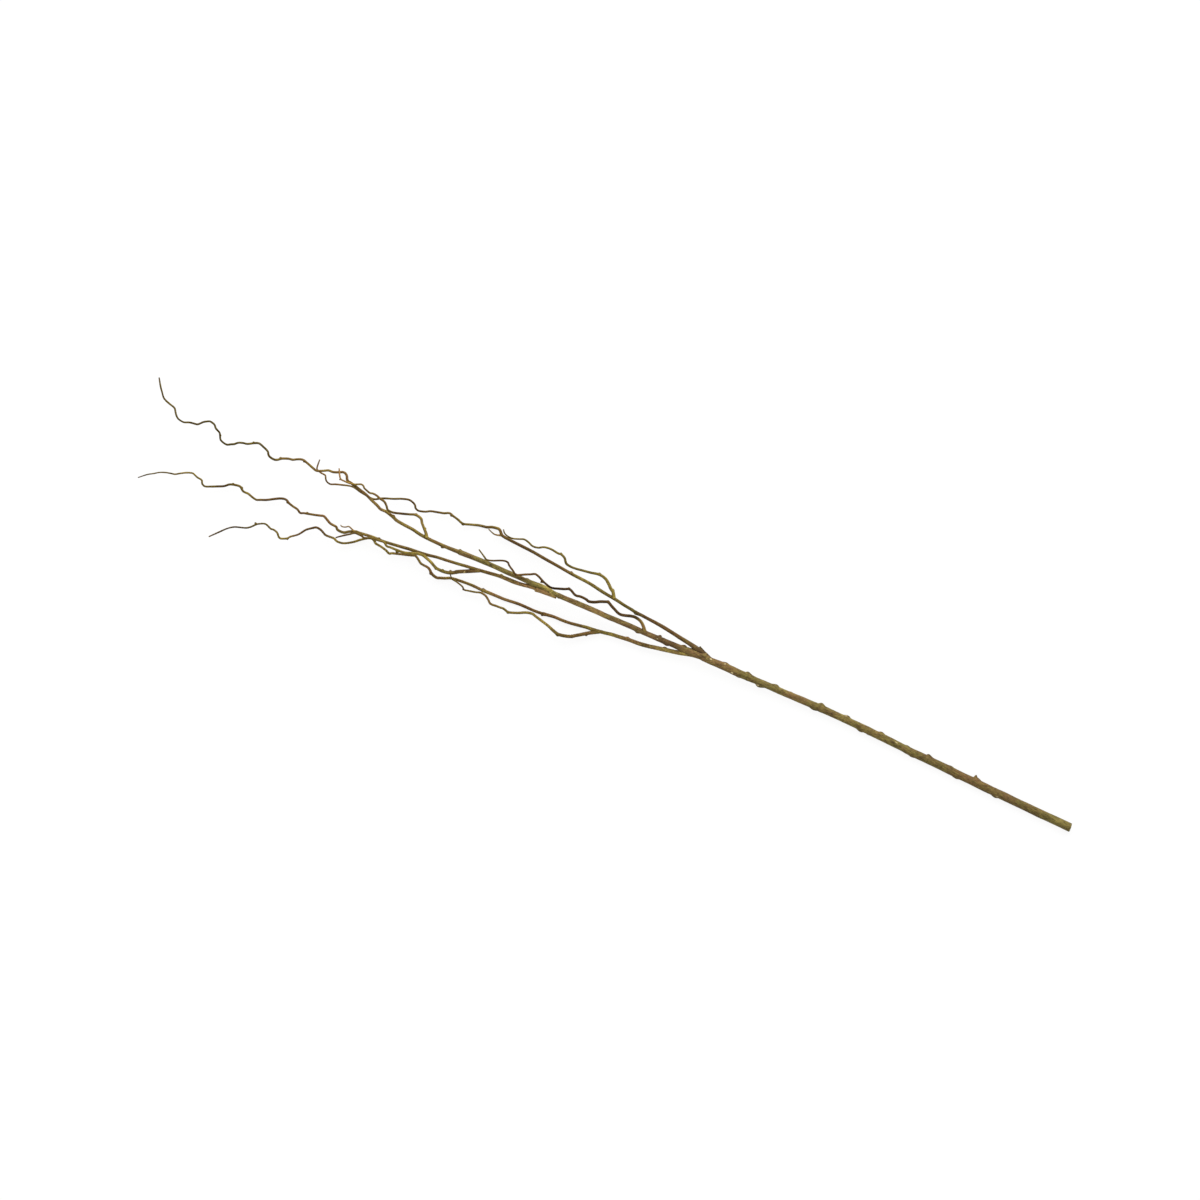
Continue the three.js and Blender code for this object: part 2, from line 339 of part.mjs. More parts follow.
// The rings of a limb: one at each station, and evenly spaced ones between stations far apart.
function limbRings(limb) {
  const path = limbPath(limb);
  const spans = limb.stations.length - 1;
  const rings = [];
  for (let span = 0; span < spans; span++) {
    const steps = Math.ceil(path.points[span].distanceTo(path.points[span + 1]) / RING_STEP);
    for (let step = 0; step < steps; step++) {
      rings.push(ringAt(limb, path, (span + step / steps) / spans));
    }
  }
  const tip = ringAt(limb, path, 1);
  rings.push({ ...tip, radius: tip.radius * TIP_SHARE });
  return rings;
}

// A bud stands on the first place of its limb that is as far along as it says. Its root is at the
// middle of the limb, so its cone comes out of sound wood.
function budRings(limb, [along, turn, reach, lean, thick]) {
  const path = limbPath(limb);
  const step = 1 / (SEARCH_STEPS * (limb.stations.length - 1));
  let t = 0;
  while (path.getPoint(t).x < along) t += step;
  const { centre: root, tangent: growth, radius } = ringAt(limb, path, t);
  const angle = THREE.MathUtils.degToRad(turn);
  const left = new THREE.Vector3(0, 0, 1).cross(growth).normalize();
  const up = new THREE.Vector3().crossVectors(growth, left);
  const outward = left.multiplyScalar(Math.cos(angle)).addScaledVector(up, Math.sin(angle));
  const point = root.clone().addScaledVector(outward, radius + reach).addScaledVector(growth, lean);
  const tangent = point.clone().sub(root).normalize();
  return [
    { centre: root, tangent, radius: thick / 2 },
    { centre: point, tangent, radius: (thick / 2) * BUD_POINT_SHARE },
  ];
}

function toSolid(geometry) {
  geometry.deleteAttribute("normal");
  geometry.deleteAttribute("uv");
  const welded = mergeVertices(geometry);
  return new wasm.Manifold(
    new wasm.Mesh({
      numProp: 3,
      vertProperties: new Float32Array(welded.attributes.position.array),
      triVerts: new Uint32Array(welded.index.array),
    }),
  );
}

function toGeometry(solid) {
  const { vertProperties, triVerts } = solid.getMesh();
  const geometry = new THREE.BufferGeometry();
  geometry.setAttribute("position", new THREE.BufferAttribute(vertProperties, 3));
  geometry.setIndex(new THREE.BufferAttribute(triVerts, 1));
  geometry.computeVertexNormals();
  return geometry;
}

// The wood below the table's surface, which the branch's weight has pressed flat at its lowest spots.
function tableBlock() {
  const length = 2600;
  const width = 600;
  const depth = 20;
  const block = new THREE.BoxGeometry(length, width, depth);
  return block.translate(0, 0, -depth / 2);
}

// What the saw took off at the butt: a block whose face leans CUT_SLANT off square.
function sawnOff() {
  const length = 20;
  const breadth = 60;
  const block = new THREE.BoxGeometry(length, breadth, breadth);
  block.translate(-length / 2, 0, 0);
  return block.rotateZ(THREE.MathUtils.degToRad(CUT_SLANT));
}

function branch() {
  const grown = [];
  for (const limb of limbs) {
    grown.push(toSolid(tube(limbRings(limb), limb.sides)));
    for (const bud of limb.buds) {
      grown.push(toSolid(tube(budRings(limb, bud), BUD_SIDES)));
    }
  }
  const whole = grown.reduce((wood, piece) => wood.add(piece));
  const solid = whole.subtract(toSolid(tableBlock())).subtract(toSolid(sawnOff()));
  const mesh = new THREE.Mesh(toGeometry(solid), new THREE.MeshStandardMaterial(WOOD));
  mesh.name = "branch";
  mesh.position.set(-ORIGIN_ALONG, -ORIGIN_ASIDE, 0);
  return mesh;
}

const curlyWillowBranch = new THREE.Group();
curlyWillowBranch.add(branch());

export default curlyWillowBranch;
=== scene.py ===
"""A cut curly willow branch, laid down on a pale table."""

import functools
import math

import bpy
import numpy as np
from bpy.props import FloatProperty, FloatVectorProperty, PointerProperty
from bpy.types import Operator, Panel, PropertyGroup
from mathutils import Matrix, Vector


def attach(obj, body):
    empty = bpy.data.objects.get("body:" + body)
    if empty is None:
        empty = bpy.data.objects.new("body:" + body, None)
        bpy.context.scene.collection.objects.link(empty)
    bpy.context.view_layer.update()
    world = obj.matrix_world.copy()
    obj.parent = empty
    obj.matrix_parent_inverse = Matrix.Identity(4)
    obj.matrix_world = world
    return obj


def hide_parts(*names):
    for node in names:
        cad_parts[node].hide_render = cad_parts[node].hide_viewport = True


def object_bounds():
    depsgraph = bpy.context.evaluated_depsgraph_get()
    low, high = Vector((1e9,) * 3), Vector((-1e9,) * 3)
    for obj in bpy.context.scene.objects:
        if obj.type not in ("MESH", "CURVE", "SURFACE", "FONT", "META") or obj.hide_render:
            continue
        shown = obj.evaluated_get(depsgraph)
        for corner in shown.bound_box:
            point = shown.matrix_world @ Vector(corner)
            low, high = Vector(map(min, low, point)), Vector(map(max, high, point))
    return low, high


bl_info = {
    "name": "Curly Willow Branch",
    "version": (1, 0, 0),
    "blender": (4, 5, 0),
    "location": "3D View > Sidebar > Willow",
    "description": "Grows a cut curly willow branch, limb by limb, and lays it on a table",
    "category": "Add Mesh",
}

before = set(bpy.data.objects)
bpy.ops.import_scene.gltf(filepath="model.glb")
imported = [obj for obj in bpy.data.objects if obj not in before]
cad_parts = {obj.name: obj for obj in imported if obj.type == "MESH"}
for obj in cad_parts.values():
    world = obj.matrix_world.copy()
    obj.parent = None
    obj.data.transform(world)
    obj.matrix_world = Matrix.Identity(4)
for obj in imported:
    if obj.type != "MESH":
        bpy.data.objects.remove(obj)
CAD_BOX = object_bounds()

MM = 0.001
ORIGIN = np.array([605.9, 41.8, 0.0])  # the part's origin, in the lists' own millimetres
CUT_SLANT = 6.0  # degrees by which the saw cut leans off square
CUT_FADE = 15.0  # the slant has died away this far from the cut
TIP_SHARE = 0.8  # the last station's share of the thickness given for it

# Each limb's middle as it grows, in millimetres: [along, aside, up, thick]. Along is the distance from
# the cut end, aside is to the left looking towards the tips, up is the height above the table, and
# thick is the wood's diameter.
STATIONS = {
    "stem": [
        [-4, 0.8, 4.95, 10.6], [10, 0.8, 4.8, 10.6], [28, 0.9, 4.65, 10.4], [60, 0.75, 4.45, 10],
        [93, 0.5, 4.45, 9.9], [112, 0.55, 4.5, 10.1], [126, 0.35, 4.5, 10.1],
        [142, 0.1, 4.45, 9.9], [166, -0.35, 4.45, 9.8], [189, -0.55, 4.5, 9.6],
        [214, -0.6, 4.7, 9.5], [226, -1.1, 4.8, 8.9], [244, -1.5, 4.95, 9], [262, -1.7, 5.15, 9.2],
        [281, -2, 5.4, 9.1], [310, -2.2, 6, 8.7], [328, -2, 6.3, 9], [346, -1.4, 6.7, 8.9],
        [370, -0.6, 7.2, 8.4], [385, 0, 7.6, 8.3], [400, 0.3, 8, 8.3], [418, 1, 8.7, 8.4],
        [436, 1.6, 9.5, 9.1], [456, 1.7, 10.5, 9.4], [471, 2.5, 11.2, 8.6],
        [476.5, 2.85, 11.45, 8.4], [485, 1.9, 11.8, 10.4], [495, 2, 12.2, 10.2],
    ],
    "fork_snag": [
        [476, 2.2, 11.2, 6.6], [485, -1.5, 12, 6], [490.5, -4.7, 12.5, 3.5],
        [495, -7.6, 12.9, 1.9],
    ],
    "right_limb": [
        [484, 0.2, 12, 8.1], [495, -3.2, 13.5, 6.6], [508, -5.5, 15.1, 5.2],
        [520, -6.9, 16.8, 4.9], [532, -8.5, 18.7, 4.6], [545.5, -10.1, 20.5, 4.4],
        [556, -10.9, 21, 4.2], [568, -11.5, 21.5, 4], [575, -11.9, 22, 4.1],
        [581.5, -11.6, 22.9, 4.8], [583, -12.1, 23.2, 4], [588, -12.9, 24, 3.9],
        [598, -13.9, 24, 3.9], [606.5, -15.2, 24, 4], [626.5, -17.2, 22, 4.1],
        [647.5, -20, 20, 3.9], [668.5, -21, 17.5, 3.9], [689, -22.6, 13, 3.8], [707, -24, 10, 3.8],
        [725.5, -25.5, 7.5, 3.8], [742, -26.1, 5.5, 3.7], [762, -27, 5, 3.6],
        [766.5, -28, 6.5, 3.6], [770.5, -32, 6.5, 3.5], [773, -33, 5.5, 3.5],
        [777, -32.5, 3.15, 3.5], [781.5, -31.5, 1.9, 3.4], [786.5, -29, 1.3, 3.3],
        [795.5, -27, 1.9, 3.1], [805.5, -23.5, 3, 2.9], [814.5, -20.5, 7.5, 2.9],
        [822, -22.5, 10, 2.9], [829.5, -24, 9.5, 2.8], [832.5, -25, 8.5, 2.8],
        [836, -24.5, 6.5, 2.8], [839.5, -22.5, 5.5, 2.8], [846, -20.5, 6.5, 2.7],
        [856, -17.5, 5.5, 2.7], [861, -14.5, 6, 2.7], [866.5, -12.5, 9.5, 2.6],
        [870, -12, 13, 2.5], [873.5, -13.5, 15.5, 2.5], [875, -16, 16, 2.5],
        [883.5, -19, 12.5, 2.5], [893, -16.5, 9, 2.5], [902.5, -12, 8.5, 2.5], [912.5, -8, 9, 2.5],
        [918, -5, 10, 2.5], [921.5, -2.5, 11.5, 2.4], [925.5, -1.5, 13.5, 2.4],
        [933.5, -2, 16.5, 2.4], [942.5, -3, 18.5, 2.3], [950.5, -4.5, 18, 2.3],
        [955.5, -4, 16, 2.2], [963.5, -1.5, 16, 2.2], [972, 1.5, 17, 2.2], [977.5, 4, 20.5, 2.1],
        [983, 2.5, 26, 2.1], [985, 0, 27.5, 2.1], [987, -3, 26, 2.1], [993, -3.5, 24, 2],
        [999, -5.5, 27.5, 1.9], [1000, -9.5, 30, 1.9], [1000.6, -17.3, 31, 1.8],
    ],
    "right_twig": [
        [612.5, -16.2, 23.5, 4.4], [617, -22.8, 25, 4], [620, -24.4, 26, 3.9],
        [626, -29.4, 29, 3.8], [631.5, -33, 29.5, 3.5], [639.5, -34.5, 28.5, 3.4],
        [651.5, -32, 29.5, 3], [660, -30.5, 28.5, 2.9], [668.5, -29, 27.5, 2.9],
        [674, -28.5, 28.5, 2.9], [681.5, -29.5, 31.5, 2.9], [684, -32, 32, 2.9],
        [686, -34.5, 31.5, 2.9], [692, -37, 27.5, 2.9], [695.5, -36.5, 25.5, 2.8],
        [705.5, -37.5, 22.5, 2.7], [714.5, -36, 18, 2.5], [720.5, -32.5, 16.5, 2.5],
        [727.5, -31.5, 19, 2.4], [733, -33.5, 19.5, 2.4], [740, -34.5, 15, 2.3],
        [745, -32.5, 12, 2.2], [753.5, -29.5, 11, 2], [761, -30, 13.5, 1.9],
        [764.5, -31.5, 14.5, 1.8], [767.3, -34.9, 14.5, 1.8],
    ],
    "right_twiglet": [
        [765.5, -27.5, 6, 2.4], [774.5, -25, 8.5, 1.8], [783.5, -27.5, 12.5, 1.6],
    ],
    "middle_limb": [
        [483, 0.8, 12, 10.7], [495, 2.3, 12.3, 9.7], [508.5, 3.2, 12.6, 7.9],
        [517, 3.9, 13.2, 7.1], [528, 4.2, 14.1, 6.4], [543, 5, 15.1, 6.8], [560, 5.6, 15.8, 6.4],
        [578, 5.6, 16.7, 6.5], [597, 6.3, 17.8, 6.6], [615, 6.9, 18.8, 6.4],
        [633.5, 7.3, 19.7, 6.6], [650, 7.9, 20.3, 6.5], [664, 8.6, 20.9, 6], [674, 8.9, 21.6, 6.4],
        [685, 9.2, 22.5, 7],
    ],
    "middle_twig": [
        [561.5, 5.3, 16, 4.8], [566, -0.3, 19, 4], [572, -4.9, 22, 3.6], [580.5, -6.5, 22, 3.6],
        [585.5, -5.5, 21.5, 3.6], [591, -3.5, 22.5, 3.5], [597, -2, 25.5, 3.5],
        [601, -2.5, 28, 3.5], [606, -4.5, 30, 3.5], [611, -6.5, 30.5, 3.5], [617, -9, 28.5, 3.5],
        [621.5, -7.5, 25.5, 3.6], [626, -5.5, 24.5, 3.6], [631, -2.5, 25, 3.5],
        [636, -0.5, 27.5, 3.4], [638.5, 0, 29, 3.4], [642.5, -1, 30.5, 3.3],
        [650.5, -1, 30.5, 3.2], [654, 0, 31.5, 3.2], [657.5, -0.5, 33, 3.1],
        [661.5, -2.5, 33, 3.1], [665.5, -3.5, 31.5, 3.1], [671, -1, 29.5, 3],
        [677.5, 1.5, 30.5, 2.9], [683, 3.5, 33, 2.9], [687.5, 4, 35.5, 2.8], [697, 1.5, 38, 2.7],
        [706, -2, 37, 2.7], [710, -2.5, 35, 2.6], [714.5, 0, 33.5, 2.6], [719.5, 2.5, 33.5, 2.6],
        [725, 5.5, 35, 2.5], [730.5, 8, 39, 2.5], [735.5, 5, 43, 2.5], [742.5, 1, 44, 2.4],
        [744.5, -1, 43, 2.4], [748, -1.5, 40.5, 2.3], [752, -0.5, 38, 2.2], [756.5, 1.5, 37, 2.2],
        [762.5, 4.5, 38, 2.1], [766.5, 6, 40, 2.1], [770, 6.5, 43, 2.1], [772.5, 5, 45, 2.2],
        [782.6, -0.6, 48.3, 2.1],
    ],
    "long_shoot": [
        [676, 9.3, 22, 6], [694.5, 7.5, 23, 5.5], [706, 8.7, 23.3, 6], [713, 9.1, 23.6, 6],
        [718, 9.3, 23.9, 5.6], [730, 9.3, 25.3, 6], [742, 9.8, 26.8, 6.1], [758, 9.9, 28, 5.9],
        [773.5, 10.4, 29, 6], [786, 11, 30, 5.9], [796, 11.6, 30.8, 6.4], [802, 12, 31.2, 6.2],
        [804, 12.2, 31.5, 5.1], [815.5, 13, 32.5, 4.7], [828, 13.5, 34, 4.3],
        [840.5, 13.5, 35.5, 4.1], [853.5, 12.9, 36.5, 4.1], [864.5, 11.2, 38, 4],
        [877, 10.5, 39, 3.9], [887, 9.5, 41, 3.8], [891, 8, 41.5, 3.8], [902, 5.5, 41.5, 3.7],
        [909.5, 5.5, 43, 3.6], [914, 3.5, 44, 3.6], [923, 0.5, 44.5, 3.5], [932.5, -3, 45, 3.4],
        [941, -5, 46, 3.4], [950, -7, 47, 3.4], [955.5, -8, 49, 3.3], [957.5, -8, 50.5, 3.2],
        [960, -10, 52, 3.2], [961.5, -13, 52, 3.1], [964, -15, 50.5, 3.1], [968, -15.5, 47, 3],
        [972, -13.5, 45.5, 3], [979, -10.5, 47, 2.9], [984.5, -10, 47.5, 2.9],
        [989, -7.5, 47.5, 2.9], [993.5, -5, 49, 2.9], [997.5, -3.5, 52.5, 2.9],
        [1001.5, -4.5, 55, 2.9], [1010, -7, 56, 2.8], [1017, -8.5, 54, 2.8], [1024, -6, 51.5, 2.7],
        [1028, -3.5, 51.5, 2.7], [1033, -2.5, 52, 2.8], [1041.5, 1.5, 52, 2.8],
        [1043.5, 3.5, 52.5, 2.8], [1047, 5.5, 55, 2.8], [1053.5, 5, 61, 2.8],
        [1056, 3.5, 62.5, 2.7], [1058, 0.5, 63, 2.6], [1065.5, -2.5, 61.5, 2.6],
        [1072.5, -4, 58.5, 2.6], [1077.5, -2, 56, 2.7], [1085, 2.5, 55.5, 2.6],
        [1089.5, 3.5, 56, 2.5], [1095.5, 6, 55, 2.5], [1098.5, 9, 54.5, 2.6], [1102, 11, 56, 2.6],
        [1106, 13.5, 59.5, 2.5], [1112.5, 12.5, 65, 2.4], [1115, 11, 67, 2.4],
        [1117, 7.5, 68, 2.4], [1119, 4.5, 67.5, 2.4], [1125.5, 1.5, 67, 2.4],
        [1128.5, -1.5, 65.5, 2.4], [1135.5, -3, 61, 2.4], [1139, -1.5, 58.5, 2.4],
        [1143, 1, 56.5, 2.4], [1145.5, 4, 56.5, 2.4], [1148, 6.5, 58, 2.4], [1153, 7.5, 60, 2.3],
        [1157.5, 8.5, 60.5, 2.3], [1163, 11, 62, 2.3], [1167, 11, 64.5, 2.2], [1171, 10, 67, 2.2],
        [1174, 7.5, 69, 2.2], [1176.5, 4.5, 69, 2.2], [1180, 0.5, 66.5, 2.2],
        [1187.5, -1.5, 63.5, 2.2], [1196, -4.5, 64.5, 2.2], [1201.5, -10.5, 66.5, 2.1],
        [1206, -16, 67, 2.1], [1211.8, -24.6, 67.5, 2],
    ],
    "long_twig": [
        [845.5, 13, 36.5, 4.4], [848, 9, 37.5, 3.8], [853, 4, 41, 3.4], [858, -1, 43.5, 3.3],
        [860.5, -4.5, 43.5, 3.2], [868.5, -6, 41, 3.1], [875.5, -3.5, 41.5, 3], [885, 0, 44, 2.9],
        [894.5, 3, 47.5, 2.8], [901, 2.5, 52.5, 2.8], [903, 0, 54.5, 2.8],
        [905.5, -2.5, 54.5, 2.8], [908.5, -4.5, 53.5, 2.8], [914.5, -5.5, 51.5, 2.7],
        [919, -7, 51, 2.6], [925, -7.5, 50, 2.5], [928.5, -6.5, 50.5, 2.4], [934, -8, 53, 2.3],
        [937, -9, 53.5, 2.3], [939, -11, 52.5, 2.3], [942, -11.5, 51, 2.3], [945.5, -10, 50, 2.2],
        [949.5, -8, 50.5, 2.2], [957.5, -6.5, 53, 2.1], [961.5, -6.5, 55.5, 2.1],
        [965.5, -6.5, 59, 2], [967.5, -8, 62, 2], [969.5, -11, 64, 2.1], [973.1, -17.6, 65.2, 2],
    ],
    "second_shoot": [
        [675.5, 10.8, 22, 6], [694.5, 12.4, 21.5, 6.4], [701, 13.3, 21, 6.5],
        [702.5, 12.9, 20.8, 5.2], [707, 13.3, 20.6, 5], [713, 14.4, 20.5, 5],
        [720, 15.7, 20.5, 4.9], [730, 16.7, 20.3, 5], [742, 17.3, 20, 4.9], [751, 18.2, 19.3, 4.4],
        [760.5, 19.7, 18.5, 4.1], [773, 21.7, 17.5, 4], [784.5, 23.3, 17.5, 3.7],
        [799, 25.6, 17, 3.6], [813.5, 27.6, 16.5, 3.6], [826, 29.2, 15.5, 3.7],
        [834.5, 31, 15.5, 3.8], [847, 32.9, 15.5, 3.9], [859.5, 34.3, 15.5, 3.9],
        [871, 36.2, 15.5, 3.8], [883, 38, 15.5, 3.7], [894, 39.3, 16, 3.6], [905, 39.8, 16, 3.5],
        [921.5, 42, 14.5, 3.4], [926.5, 42.5, 12.5, 3.4], [931, 44.5, 10.5, 3.3],
        [934.5, 46.5, 10.5, 3.3], [938.5, 49.5, 12, 3.2], [947.5, 49.5, 17, 3.1],
        [949, 47.5, 17.5, 3], [958, 46.5, 16, 3], [963.5, 44, 16, 3], [969, 42, 13.5, 2.9],
        [972.5, 43, 11, 2.9], [978.5, 45, 9.5, 2.9], [985.5, 47, 9.5, 2.9], [992.5, 49, 10.5, 2.8],
        [996, 50.5, 13, 2.8], [1000.5, 48, 15, 2.8], [1007, 47, 15, 2.8], [1013, 45.5, 16, 2.8],
        [1017, 43.5, 14.5, 2.8], [1021, 43.5, 11, 2.8], [1025.5, 45, 8.5, 2.8],
        [1030, 47.5, 7, 2.8], [1039.5, 53.5, 7, 2.8], [1046, 56.5, 8, 2.7],
        [1050.5, 58.5, 10.5, 2.7], [1056.5, 57.5, 13.5, 2.7], [1062, 56, 14, 2.7],
        [1068.5, 56, 15, 2.7], [1074, 52.5, 14.5, 2.8], [1077.5, 52.5, 12.5, 2.8],
        [1087.5, 55.5, 7.5, 2.8], [1092.5, 60, 7, 2.8], [1100, 64, 8, 2.6], [1108, 68, 10.5, 2.5],
        [1112.5, 70, 14.5, 2.4], [1115, 69.5, 17.5, 2.4], [1117, 68, 19.5, 2.4],
        [1118.5, 65, 19.5, 2.3], [1125.5, 64, 17.5, 2.2], [1132, 62, 16.5, 2.1],
        [1134.5, 62.5, 15.5, 2.1], [1139.5, 64.5, 13.5, 2.1], [1147.5, 69.5, 14, 2],
        [1151, 72, 16, 1.9], [1155, 73, 18.5, 1.9], [1162, 75, 20, 1.8], [1168.5, 78, 21, 1.7],
        [1174, 82, 22, 1.7], [1180, 86, 22.5, 1.6], [1188.9, 94.4, 23, 1.6],
    ],
    "second_twig": [
        [771.5, 21.5, 17.5, 4.9], [784, 28.3, 17, 4.6], [796, 34.8, 16.5, 4.7],
        [798.5, 36.8, 16.5, 4.4], [802, 39, 17.5, 4.3], [806.5, 40.5, 19, 4],
        [814.5, 41.5, 22, 3.8], [820.5, 41, 25, 3.6], [828.5, 37.5, 26.5, 3.5], [833, 36, 26, 3.5],
        [841.5, 34, 23.5, 3.5], [847.5, 35, 21.5, 3.5], [853, 37, 21, 3.5],
        [862.5, 40.5, 22.5, 3.3], [872, 41.5, 24, 3], [881, 42, 25.5, 2.8], [884.5, 42.5, 27, 2.7],
        [889.5, 39.5, 27.5, 2.7], [894, 40, 25.5, 2.7], [907, 42.5, 25, 2.6], [914, 45, 27.5, 2.5],
        [917, 44, 28.5, 2.5], [920.5, 44, 29, 2.5], [926, 44.5, 27.5, 2.4], [930.5, 48, 26.5, 2.3],
        [937, 53, 27, 2.3], [944.2, 59.1, 28.6, 2.1],
    ],
    "second_twiglet": [
        [926, 42, 13, 2.6], [929, 42.5, 15, 2.1], [936.5, 40.5, 17, 1.7], [939, 42.5, 18, 1.6],
        [943.5, 44, 20.5, 1.5], [945.5, 43, 22, 1.4],
    ],
    "left_limb": [
        [482.5, 1.8, 12, 8.3], [490, 3.4, 12, 6.7], [500, 5.5, 11.3, 5.9], [516, 10.3, 10.6, 5.5],
        [526, 12.6, 10.2, 5.4], [541, 15.9, 9.7, 5.1], [552, 18.4, 9.2, 5], [563.5, 20.2, 8.7, 5],
        [575, 21.2, 8.2, 4.7], [587, 22.8, 7.5, 4.6], [596, 24, 7, 4.6], [607, 26.3, 6.5, 4.4],
        [620, 28.5, 5.9, 4.5], [627, 29.2, 5.5, 4.2], [636, 30.9, 5, 4], [647, 32.9, 4.5, 3.8],
        [655, 33.8, 4.1, 3.8], [669, 34.5, 3.5, 3.8], [680.5, 36.5, 2.65, 4.4],
        [682, 36.7, 2.6, 3.8], [692, 37.8, 2.05, 3.7], [712, 38.3, 1.45, 3.7],
        [724, 39.7, 1.45, 3.7], [732, 40.6, 1.75, 3.7], [740, 40.9, 2.25, 3.8],
        [759, 41.8, 3.5, 4.4], [761, 41.9, 3.7, 3.6], [772, 41.8, 4.8, 3.6], [788, 43, 4.3, 3.5],
        [800, 44.8, 2.8, 3.4], [806.5, 48, 1.7, 3.3], [811.5, 50, 2.8, 3.4], [815.5, 51.5, 5, 3.5],
        [823, 49.5, 8.5, 3.6], [826, 47, 9.5, 3.4], [829.5, 45, 9, 3.2], [836.5, 44.5, 8, 3],
        [840, 44, 9, 2.9], [843, 42, 9.5, 2.9], [847, 39.5, 8.5, 2.9], [850, 38.5, 6, 2.9],
        [854, 40, 3.5, 2.9], [860, 42, 2.5, 2.9], [871.5, 46, 3.5, 2.9], [877, 48, 5, 2.9],
        [879, 49.5, 6.5, 2.9], [884.5, 47.5, 9.5, 2.9], [892, 46, 9.5, 2.9],
        [899.5, 45, 11.5, 3.1], [901, 43.5, 11.5, 3.1], [903, 42.5, 10.5, 3.1], [906, 42, 8, 3],
        [910, 43.5, 4.5, 2.9], [917.5, 49, 3, 2.8], [924, 55, 4, 2.8], [933, 61, 7, 2.7],
        [938, 62.5, 10, 2.7], [942.5, 62.5, 13, 2.7], [946, 61, 13.5, 2.7], [953.5, 61.5, 13, 2.6],
        [957.5, 61.5, 14.5, 2.6], [961, 60, 16, 2.6], [964.5, 58.5, 15.5, 2.7], [971, 58, 13, 2.7],
        [975, 60.5, 11, 2.7], [981.5, 66, 9, 2.6], [983.5, 69, 9, 2.5], [987.5, 75, 10.5, 2.4],
        [995, 81.5, 12, 2.4], [997, 84.5, 14, 2.4], [1004, 88, 20.5, 2.4], [1006, 87.5, 23, 2.4],
        [1008, 85.5, 24.5, 2.4], [1010, 83.5, 24.5, 2.4], [1016, 82, 22.5, 2.3],
        [1019, 82.5, 22.5, 2.3], [1024.5, 80.5, 22.5, 2.3], [1028, 80, 21, 2.2],
        [1036, 84, 18, 2.2], [1039, 87, 17.5, 2.2], [1042, 90.5, 18.5, 2.2],
        [1045.5, 93.5, 21.5, 2.2], [1050, 95.5, 24.5, 2.1], [1059.5, 99, 26.5, 2],
        [1066, 104, 26.5, 1.9], [1073, 112, 27.5, 2], [1081.8, 122.4, 29.1, 1.9],
    ],
    "left_twig": [
        [610, 26.8, 6.5, 4.5], [622, 34.2, 7, 4.6], [634, 42.8, 7.5, 4.3], [640.5, 47.3, 9, 4.2],
        [655, 51.1, 13, 4.1], [662, 49.5, 14.5, 3.8], [670, 47, 15.5, 3.5], [679, 45, 15.5, 3.4],
        [688.5, 43, 14.5, 3.3], [693, 42, 13, 3.3], [701, 44, 10.5, 3.3], [707.5, 47.5, 9.5, 3.2],
        [714, 50.5, 10, 3.2], [720.5, 52.5, 12, 3.1], [727, 51, 13, 2.9], [731.5, 51.5, 12.5, 2.8],
        [737.5, 52, 12.5, 2.8], [741.5, 52.5, 13.5, 2.8], [744.5, 52, 15, 2.8],
        [747.5, 49.5, 15.5, 2.7], [750.5, 47.5, 15, 2.7], [753.5, 46, 13.5, 2.6],
        [760.5, 45.5, 9.5, 2.4], [764.5, 47, 8.5, 2.3], [774, 49.5, 8, 2.2],
        [780, 50.5, 10.5, 2.1], [782, 48.5, 12, 2], [790.5, 46, 12.5, 1.9], [795, 45.5, 13, 1.8],
        [798, 45, 14.5, 1.9], [801.9, 41.1, 16.2, 1.8],
    ],
}

